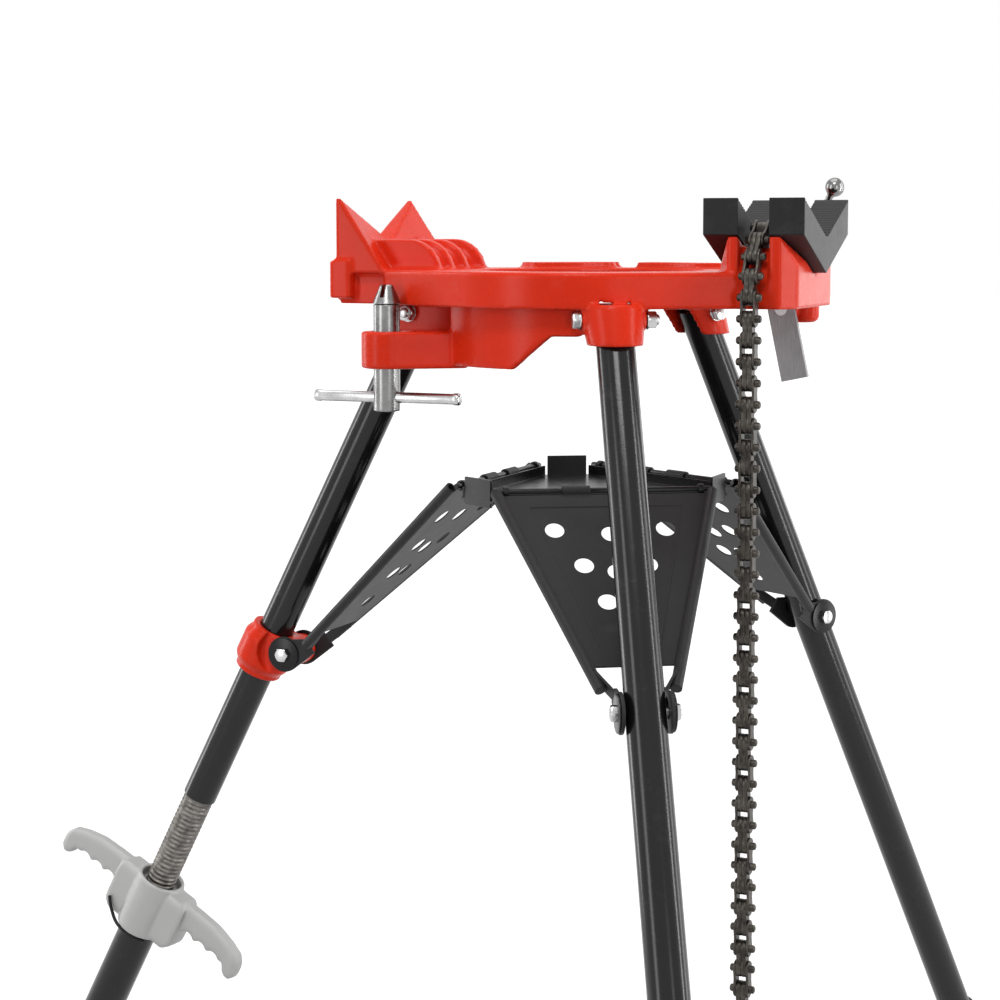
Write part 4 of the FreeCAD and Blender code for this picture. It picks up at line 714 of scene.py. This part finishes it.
class STAND_OT_chain(StandOperator, bpy.types.Operator):
    """Link the chain: the stretch in the slot and five hanging runs"""
    bl_idname = "stand.chain"
    bl_label = "Chain"

    def execute(self, context):
        steel = finishes()["chain_steel"]
        first = len(CHAIN_TURNS)
        solid("chain_in_slot", chain_stretch(0, first), steel, "head", ("chain_slot_links",))
        solid("chain_anchor_rivet", link_pin(chain_places()[0]), steel, "head",
              ("chain_anchor_pin",))
        for run in range(CHAIN_RUNS):
            start = first + run * CHAIN_RUN_LINKS
            node = f"chain_run_{run + 1}"
            solid(f"chain_links_{run + 1}", chain_stretch(start, start + CHAIN_RUN_LINKS), steel,
                  BODY_OF[node], (node,))
        finish_node("chain_anchor_lug")
        return {"FINISHED"}


class STAND_OT_tension(StandOperator, bpy.types.Operator):
    """Make the claw, its rivet and rod, the ball, the cross shaft and the hand lever"""
    bl_idname = "stand.tension"
    bl_label = "Tension mechanism"

    def execute(self, context):
        edge = context.scene.stand_sizes.plate_edge
        machined_piece("claw", "chain_claw", edge, finishes()["jaw_steel"], True)
        machined_piece("hand_lever", "tension_lever", edge, finishes()["lever_steel"])
        for node in ("tension_rod", "claw_pin", "lever_shaft"):
            finish_node(node)
        self.ball()
        return {"FINISHED"}

    def ball(self):
        """Ball on its rod: a profile turned about the line from the claw's cheek to the ball."""
        root = np.array([VISE_X + 0.0088, 0.098, STAND_HEIGHT - 0.025])
        centre = np.array([VISE_X + 0.0285, 0.098, STAND_HEIGHT + 0.012])
        way = centre - root
        span = np.linalg.norm(way)
        angle = np.linspace(2.65, 0.0, 16)
        knob = np.stack([span + 0.00925 * np.cos(angle), 0.00925 * np.sin(angle)], axis=1)
        rod = [(0.0025, 0.0), (0.0025, 0.0040), (0.0045, 0.0040), (0.0055, 0.00325), (span - 0.0098, 0.00325)]
        part = placed(turned_profile(np.vstack([rod, knob]), 32), root, basis(way))
        solid("lever_ball", part, finishes()["ball_chrome"], "claw", ("claw_ball",), 60.0)


class STAND_OT_brace(StandOperator, bpy.types.Operator):
    """Make the ceiling brace: screw, swivelling nub and sliding bar"""
    bl_idname = "stand.brace"
    bl_label = "Ceiling brace"

    def execute(self, context):
        zinc, dull = finishes()["zinc_steel"], finishes()["dull_zinc"]
        machined_piece("brace_tip_nub", "brace_nub", 0.0004, dull)
        low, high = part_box("brace_screw")
        middle = (np.array(low) + high) / 2
        shank = eased([(0.0, 0.0), (0.0, 0.0061), (0.0, 0.0125), (0.101, 0.0125), (0.101, 0.0)], 0.0015, 4)
        part = placed(turned_profile(shank, 64), (middle[0], middle[1], low[2]), basis(UP, (1, 0, 0)))
        solid("brace_screw_shank", part, dull, "brace", ("brace_screw",))
        low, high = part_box("brace_bar")
        middle = (np.array(low) + high) / 2
        half = (high[0] - low[0]) / 2
        shank = 0.0052
        end = [(0.0, 0.0), (0.0, 0.0040), (0.0007, 0.0052), (0.0018, 0.00575), (0.0060, 0.00575),
               (0.0075, shank)]
        left = np.array(end) - (half, 0)
        part = placed(turned_profile(np.vstack([left, left[::-1] * (-1, 1)]), 32), middle, basis((1, 0, 0)))
        solid("brace_cross_bar", part, zinc, BODY_OF["brace_bar"], ("brace_bar",))
        return {"FINISHED"}


class STAND_OT_pivots(StandOperator, bpy.types.Operator):
    """Turn the pivot bolts, their nuts and washers at the tops of the legs"""
    bl_idname = "stand.pivots"
    bl_label = "Leg pivots"

    def execute(self, context):
        thick = 0.0016
        bolts, nuts, washers = [], [], []
        for leg, reach in BOLT_REACH.items():
            _, side, _, pivot = leg_axes(leg)
            out = reach + thick
            shank = turned_profile([(-out - 0.001, 0.0), (-out - 0.001, 0.005), (out + 0.0090, 0.005),
                                    (out + 0.0102, 0.0040), (out + 0.0108, 0.0020), (out + 0.0108, 0.0)], 24)
            bolts.append(placed(shank, pivot, basis(side)))
            bolts.append(placed(hex_head(0.015, 0.0064), pivot - side * out, basis(-side)))
            nuts.append(placed(hex_head(0.015, 0.0075), pivot + side * out, basis(side)))
            for way in (-1, 1):
                ring = eased([(0.0, 0.005), (0.0, 0.009), (thick, 0.009), (thick, 0.005)], 0.0005)
                ring = turned_profile(ring, 32, wrap=True)
                washers.append(placed(ring, pivot + side * way * reach, basis(side * way)))
        zinc = finishes()["zinc_steel"]
        for name, parts in (("bolts", bolts), ("nuts", nuts), ("washers", washers)):
            solid("pivot_" + name, joined(parts), zinc, "head", ("leg_pivot_" + name,), 30.0)
        return {"FINISHED"}


class STAND_OT_wing_bolts(StandOperator, bpy.types.Operator):
    """Turn the bolts that tie the wings to the legs, with their wide black washers"""
    bl_idname = "stand.wing_bolts"
    bl_label = "Wing bolts"

    def execute(self, context):
        seat, thick, wide = 0.0229, 0.0016, 0.017
        names = {"near": "front_wing_bolt_near", "far": "front_wing_bolt_far", "rear": "rear_wing_bolt"}
        for leg, node in names.items():
            side = leg_axes(leg)[1]
            pin = pin_place(leg)
            heads, discs = [], []
            for way in (-1, 1):
                turn = basis(side * way)
                disc = eased([(0.0, 0.0), (0.0, wide), (thick, wide), (thick, 0.0)], 0.0006)
                discs.append(placed(turned_profile(disc, 48), pin + side * way * seat, turn))
                heads.append(placed(hex_head(0.013, 0.0053), pin + side * way * (seat + thick), turn))
            shank = turned_profile([(-seat, 0.0), (-seat, 0.004), (seat, 0.004), (seat, 0.0)], 24)
            heads.append(placed(shank, pin, basis(side)))
            body = BODY_OF[node]
            zinc = finishes()["zinc_steel"]
            solid(f"wing_bolt_{leg}", joined(heads), zinc, body, (node,), 30.0)
            solid(f"wing_washers_{leg}", joined(discs), finishes()["tray_sheet"], body)
        return {"FINISHED"}


class STAND_OT_legs(StandOperator, bpy.types.Operator):
    """Finish the leg tubes in black enamel"""
    bl_idname = "stand.legs"
    bl_label = "Leg tubes"

    def execute(self, context):
        for node in ("front_leg_near", "front_leg_far", "rear_upper_leg", "rear_lower_tube"):
            finish_node(node)
        return {"FINISHED"}


class STAND_OT_screw(StandOperator, bpy.types.Operator):
    """Cut the levelling screw's right-hand thread"""
    bl_idname = "stand.screw"
    bl_label = "Levelling screw"

    def execute(self, context):
        sizes = context.scene.stand_sizes
        _, side, down, pivot = leg_axes("rear")
        start, end, thread_from, outer = 0.506, 0.834, 0.577, 0.0158
        part = self.thread(start, end, thread_from, outer, sizes.thread_depth, sizes.thread_pitch)
        part = placed(part, pivot, basis(down, side))
        solid("levelling_thread_rod", part, finishes()["levelling_thread"], "leg_rear",
              ("levelling_screw",), 80.0)
        return {"FINISHED"}

    def thread(self, start, end, thread_from, outer, depth, pitch, around=36, rows_per_turn=10):
        """Thread as a function of angle a and height z.

        Its radius is outer - depth * T(q), where q = z/pitch - a/(2 pi) less its whole part and T is a
        trapezium: 0 on the crest, 1 in the root and straight flanks between. The depth fades in over the
        first turn and out over the last one.
        """
        plain = np.array([start, start, thread_from])
        threaded = np.arange(thread_from, end, pitch / rows_per_turn)
        height = np.concatenate([plain, threaded, [end, end]])[:, None]
        angle = np.linspace(0, 2 * np.pi, around, endpoint=False)[None]
        q = (height / pitch - angle / (2 * np.pi)) % 1.0
        root = np.clip((0.34 - np.abs(q - 0.5)) / 0.18, 0.0, 1.0)
        fade = np.clip((height - thread_from) / pitch, 0, 1) * np.clip((end - height) / pitch, 0, 1)
        radius = outer - depth * root * fade
        radius[[0, -1]] = 0.0
        points = np.stack([radius * np.cos(angle), radius * np.sin(angle),
                           np.broadcast_to(height, radius.shape)], axis=-1)
        return sheet(points, wrap_columns=True)


class STAND_OT_wing_nut(StandOperator, bpy.types.Operator):
    """Cast the wing nut: hub, lobes and two scalloped, hooked wings blended together"""
    bl_idname = "stand.wing_nut"
    bl_label = "Wing nut"

    def execute(self, context):
        centre, turn = nut_axes()
        parts = [self.hub()] + [self.wing(way) for way in (-1, 1)] + [self.lobe(way) for way in (-1, 1)]
        part = placed(joined(parts), centre, turn)
        made = solid("wing_nut", part, finishes()["cast_aluminium"], "wing_nut",
                     ("levelling_wing_nut",))
        soften(made, context.scene.stand_sizes.nut_grid, 5)
        return {"FINISHED"}

    def hub(self):
        """Hub with a bore and a recess at its top: a closed profile turned about the leg."""
        corners = [(-0.032, 0.0159), (-0.032, 0.026), (0.032, 0.026), (0.032, 0.0215), (0.020, 0.0215),
                   (0.020, 0.0159), (-0.032, 0.0159)]
        return turned_profile(eased(corners, 0.002)[:-1], 48, wrap=True)

    def wing(self, way):
        """Wing along X: its top slopes down to a hook, and three finger scallops are cut below."""
        x = 0.022 + 0.105 * (1 - np.cos(np.linspace(0, np.pi, 110))) / 2
        top = np.interp(x, [0.022, 0.060, 0.084, 0.105, 0.119, 0.1245, 0.1265, 0.127],
                        [0.0290, 0.0280, 0.0268, 0.0215, 0.0160, 0.0090, 0.0020, -0.0035])
        low = np.interp(x, [0.022, 0.030, 0.050, 0.108, 0.112, 0.1165, 0.1215, 0.1255, 0.127],
                        [-0.0180, -0.0140, -0.0040, -0.0030, -0.0110, -0.0142, -0.0142, -0.0095, -0.0045])
        reach = x[:, None] - np.array([0.058, 0.076, 0.094])
        scallop = -0.009 + np.sqrt(np.maximum(0.0095 ** 2 - reach ** 2, 0.0))
        scallop = np.where(np.abs(reach) < 0.0095, scallop, -1.0).max(axis=1)
        low = np.maximum(low, scallop)
        half = np.interp(x, [0.022, 0.050, 0.105, 0.120, 0.1255, 0.127],
                         [0.0085, 0.0075, 0.0075, 0.0078, 0.0060, 0.0020])
        points, quads = rounded_section(x, top, low, half, 4.0, 36)
        return points * (way, way, 1), quads

    def lobe(self, way):
        """Flat lobe beside the hub."""
        x = np.concatenate([[0.022, 0.030, 0.038, 0.041, 0.0435], np.linspace(0.045, 0.0475, 5)])
        top = np.interp(x, [0.0, 0.041, 0.0465, 0.0475], [0.029, 0.029, 0.0235, 0.0195])
        low = np.interp(x, [0.0, 0.039, 0.0465, 0.0475], [-0.031, -0.031, -0.0235, -0.0195])
        half = np.interp(x, [0.0, 0.044, 0.0468, 0.0475], [0.015, 0.015, 0.0135, 0.0110])
        points, quads = rounded_section(x, top, low, half, 7.0, 48)
        return points * (way, way, 1), quads


class STAND_OT_clip(StandOperator, bpy.types.Operator):
    """Bend the wire clip under the wing nut"""
    bl_idname = "stand.clip"
    bl_label = "Wire clip"

    def execute(self, context):
        centre, turn = nut_axes()
        knots = np.array([(-19.0, 14.2, -34.4), (-14.5, 18.6, -34.6), (0.0, 23.6, -34.6), (12.0, 20.8, -34.9),
                          (22.0, 18.8, -32.4), (33.0, 17.6, -24.0), (40.0, 17.2, -15.0)]) / 1000
        path = smooth_path(knots, 90)
        radius = np.full(len(path), context.scene.stand_sizes.wire_radius)
        radius[[0, -1]] *= 0.6
        part = placed(tube(path, radius, 14), centre, turn)
        solid("nut_clip", part, finishes()["clip_wire"], "wing_nut", ("wire_clip",), 60.0)
        return {"FINISHED"}


class STAND_OT_feet(StandOperator, bpy.types.Operator):
    """Mould the three feet, ribbed round their sides and grooved below"""
    bl_idname = "stand.feet"
    bl_label = "Feet"

    def execute(self, context):
        for leg, node, inner in (("near", "front_foot_near", LEG_TUBE), ("far", "front_foot_far", LEG_TUBE),
                                 ("rear", "rear_foot", LOWER_TUBE)):
            solid("foot_" + leg, self.foot(leg, inner), finishes()["foot_rubber"], BODY_OF[node],
                  (node,), 50.0)
        return {"FINISHED"}

    def foot(self, leg, inner, around=64):
        """Sleeve along the leg down to the floor.

        Point (i, a) is start + r_i n(a) + s_i L(a) down, where L(a) is how far the line at angle a runs
        before it meets the floor. The last rings lie on the floor and close at its middle.
        """
        outward, side, down, pivot = leg_axes(leg)
        outer = inner + 0.004
        end = LEG_LENGTH - (0.006 + inner * LEG_SIN) / LEG_COS
        start = pivot + down * (end - 0.048)
        angle = np.linspace(0, 2 * np.pi, around, endpoint=False)
        turn = basis(down, side)
        ring = turn[:, 0] * np.cos(angle)[:, None] + turn[:, 1] * np.sin(angle)[:, None]
        share = np.concatenate([[0.0, 0.0, 0.015, 0.05], np.linspace(0.08, 0.94, 44), [0.97, 0.99, 1.0]])
        ribbed = (share > 0.2) & (share < 0.82)
        rib = 0.0006 * (0.5 + 0.5 * np.cos(2 * np.pi * (share - 0.2) / 0.075)) * ribbed
        radius = outer - rib
        radius[:3] = [inner, outer - 0.0014, outer - 0.0003]
        radius[-1] = outer - 0.0012
        length = (start[2] + outer * ring[:, 2]) / -down[2]
        along = share[:, None] * length[None]
        sides = start + radius[:, None, None] * ring[None] + along[..., None] * down
        sides[-1] -= down * (sides[-1][:, 2:] / down[2])
        middle = sides[-1].mean(axis=0)
        shrink = np.array([0.93, 0.90, 0.84, 0.80, 0.60, 0.56, 0.36, 0.32, 0.0])
        floor = middle + shrink[:, None, None] * (sides[-1] - middle)
        floor[..., 2] = np.array([0.0, 0.0015, 0.0015, 0.0, 0.0, 0.0015, 0.0015, 0.0, 0.0])[:, None]
        inside = (start + inner * ring + 0.0475 * down)[None]
        hub = np.broadcast_to(start + 0.0475 * down, inside.shape)
        return sheet(np.concatenate([hub, inside, sides, floor]), wrap_columns=True)


class STAND_OT_tray(StandOperator, bpy.types.Operator):
    """Press the tray and its hinge rods"""
    bl_idname = "stand.tray"
    bl_label = "Tray"

    def execute(self, context):
        edge = context.scene.stand_sizes.plate_edge
        machined_piece("tray_pan", "tray_plate", edge, finishes()["tray_sheet"], True)
        rod_drop, rod_radius, rod_half = 0.268, 0.092, 0.104
        rods = []
        for azimuth, _ in LEGS.values():
            angle = math.radians(azimuth)
            centre = np.array([TRIPOD_X, 0, STAND_HEIGHT - rod_drop])
            centre += rod_radius * np.array([math.cos(angle), math.sin(angle), 0])
            end = np.array([(0.0, 0.0), (0.0, 0.0021), (0.0007, 0.0028), (0.002, 0.0030)]) - (rod_half, 0)
            profile = np.vstack([end, end[::-1] * (-1, 1)])
            side = (-math.sin(angle), math.cos(angle), 0)
            rods.append(placed(turned_profile(profile, 20), centre, basis(side)))
        solid("tray_rods", joined(rods), finishes()["tray_sheet"], "tray", ("tray_hinge_rods",))
        return {"FINISHED"}


class STAND_OT_wings(StandOperator, bpy.types.Operator):
    """Press the three perforated wings"""
    bl_idname = "stand.wings"
    bl_label = "Wings"

    def execute(self, context):
        edge = context.scene.stand_sizes.plate_edge
        for name, node in (("wing_near", "front_wing_near"), ("wing_far", "front_wing_far"),
                           ("wing_rear", "rear_wing")):
            machined_piece(name + "_sheet", node, edge, finishes()["wing_sheet"], True)
        return {"FINISHED"}


class STAND_OT_stage(StandOperator, bpy.types.Operator):
    """Set up the pale floor, the soft lamps, the sky and the camera"""
    bl_idname = "stand.stage"
    bl_label = "Stage"

    def execute(self, context):
        self.floor()
        self.sky(context.scene)
        self.lamps()
        self.camera(context.scene)
        context.scene.view_settings.view_transform = "Standard"
        return {"FINISHED"}

    def seen(self, finish):
        """1 for rays from the camera, a mirror or glass, 0 for others."""
        paths = ["Is Camera Ray", "Is Glossy Ray", "Is Transmission Ray"]
        rays = [finish.node("ShaderNodeLightPath", output=path) for path in paths]
        return rays[0].most(rays[1]).most(rays[2])

    def floor(self):
        angle = np.linspace(0, 2 * np.pi, 96, endpoint=False)
        radius = np.array([0.0, 2.0, 5.0, 30.0])[:, None]
        points = np.stack([radius * np.cos(angle), radius * np.sin(angle),
                           np.broadcast_to(-0.0005, (4, 96))], axis=-1)
        points, quads = sheet(points, wrap_columns=True)
        mesh = bpy.data.meshes.new("floor")
        mesh.from_pydata(points.tolist(), [], quads.tolist())
        mesh.validate()
        floor = new_object("floor", mesh)
        f = Finish("pale floor")
        away = f.node("ShaderNodeVectorMath", {"operation": "LENGTH"}, {0: f.place}, "Value").ramp(1.2, 3.0)
        near = f.mix(away, (0.74, 0.74, 0.74, 1), (1.0, 1.0, 1.0, 1))
        glow = f.mix(self.seen(f), (0, 0, 0, 1), near)
        tone = f.mix(f.noise(6.0).ramp(0.3, 0.7), (0.40, 0.40, 0.40, 1), (0.42, 0.42, 0.42, 1))
        floor.data.materials.append(f.shader(Base_Color=tone, Roughness=0.8, Emission_Color=glow,
                                             Emission_Strength=1.0))

    def sky(self, scene):
        world = scene.world or bpy.data.worlds.new("studio")
        scene.world = world
        world.use_nodes = True
        tree = world.node_tree
        tree.nodes.clear()
        f = Finish.__new__(Finish)
        f.tree = tree
        tone = f.mix(self.seen(f), (0.22, 0.22, 0.224, 1), (1, 1, 1, 1))
        glow = f.node("ShaderNodeBackground", {}, {"Color": tone, "Strength": 1.0})
        f.node("ShaderNodeOutputWorld", {}, {"Surface": glow})

    def lamps(self):
        """Soft boxes: a key high in front, upright ones beside the stand and a broad one overhead."""
        middle = np.array([0.16, 0.0, 0.75])
        right = np.array([0.921, 0.390, 0.0])
        ahead = np.array([-0.390, 0.921, 0.0])
        setups = (("key", -right * 0.3 - ahead * 1.6 + UP * 2.0, 1.0, 0.6, 22.0),
                  ("strip", right * 1.5 - ahead * 0.45 + UP * 0.1, 0.14, 1.9, 12.0),
                  ("right", right * 1.7 + ahead * 0.30 + UP * 0.25, 0.40, 1.9, 8.0),
                  ("front", right * 0.9 - ahead * 2.3 + UP * 0.3, 0.4, 1.2, 6.0),
                  ("left", -right * 1.7 - ahead * 1.2 + UP * 0.35, 0.45, 1.8, 12.0),
                  ("left edge", -right * 1.7 + ahead * 0.7 + UP * 0.3, 0.35, 1.8, 12.0),
                  ("top", UP * 1.9 + ahead * 0.2, 1.6, 1.6, 16.0),
                  ("back", right * 1.3 + ahead * 1.5 + UP * 0.6, 0.6, 1.6, 5.0))
        for name, offset, width, height, watts in setups:
            lamp = bpy.data.lights.new(name, "AREA")
            lamp.shape = "RECTANGLE"
            lamp.size = width
            lamp.size_y = height
            lamp.energy = watts
            holder = bpy.data.objects.new(name, lamp)
            bpy.context.scene.collection.objects.link(holder)
            holder.location = middle + offset
            holder.rotation_euler = Vector(-offset).to_track_quat("-Z", "Y").to_euler()

    def camera(self, scene):
        lens = bpy.data.cameras.new("view")
        lens.sensor_width = 36.0
        lens.lens = 78.876
        lens.shift_y = -0.0765
        lens.clip_start = 0.1
        lens.clip_end = 100.0
        holder = bpy.data.objects.new("view", lens)
        scene.collection.objects.link(holder)
        holder.location = (0.904027, -1.964, 0.9346)
        holder.rotation_euler = (math.radians(85.0), 0.0, math.radians(22.95))
        scene.camera = holder


class STAND_PT_panel(bpy.types.Panel):
    """Sizes, colours and pieces of the stand"""
    bl_idname = "STAND_PT_panel"
    bl_label = "Pipe vise stand"
    bl_space_type = "VIEW_3D"
    bl_region_type = "UI"
    bl_category = "Vise stand"

    def draw(self, context):
        for group in (context.scene.stand_sizes, context.scene.stand_colours):
            box = self.layout.box()
            for name in group.__annotations__:
                box.prop(group, name)
        for operator in OPERATORS:
            self.layout.operator(operator.bl_idname)


OPERATORS = (STAND_OT_head, STAND_OT_collar, STAND_OT_jaws, STAND_OT_chain, STAND_OT_tension, STAND_OT_brace,
             STAND_OT_pivots, STAND_OT_wing_bolts, STAND_OT_legs, STAND_OT_screw, STAND_OT_wing_nut,
             STAND_OT_clip, STAND_OT_feet, STAND_OT_tray, STAND_OT_wings, STAND_OT_stage)
CLASSES = (StandSizes, StandColours) + OPERATORS + (STAND_PT_panel,)


def register():
    for each in CLASSES:
        bpy.utils.register_class(each)
    bpy.types.Scene.stand_sizes = bpy.props.PointerProperty(type=StandSizes)
    bpy.types.Scene.stand_colours = bpy.props.PointerProperty(type=StandColours)


def unregister():
    del bpy.types.Scene.stand_colours
    del bpy.types.Scene.stand_sizes
    for each in reversed(CLASSES):
        bpy.utils.unregister_class(each)


def main():
    register()
    for operator in OPERATORS:
        group, name = operator.bl_idname.split(".")
        getattr(getattr(bpy.ops, group), name)()


if __name__ == "__main__":
    main()
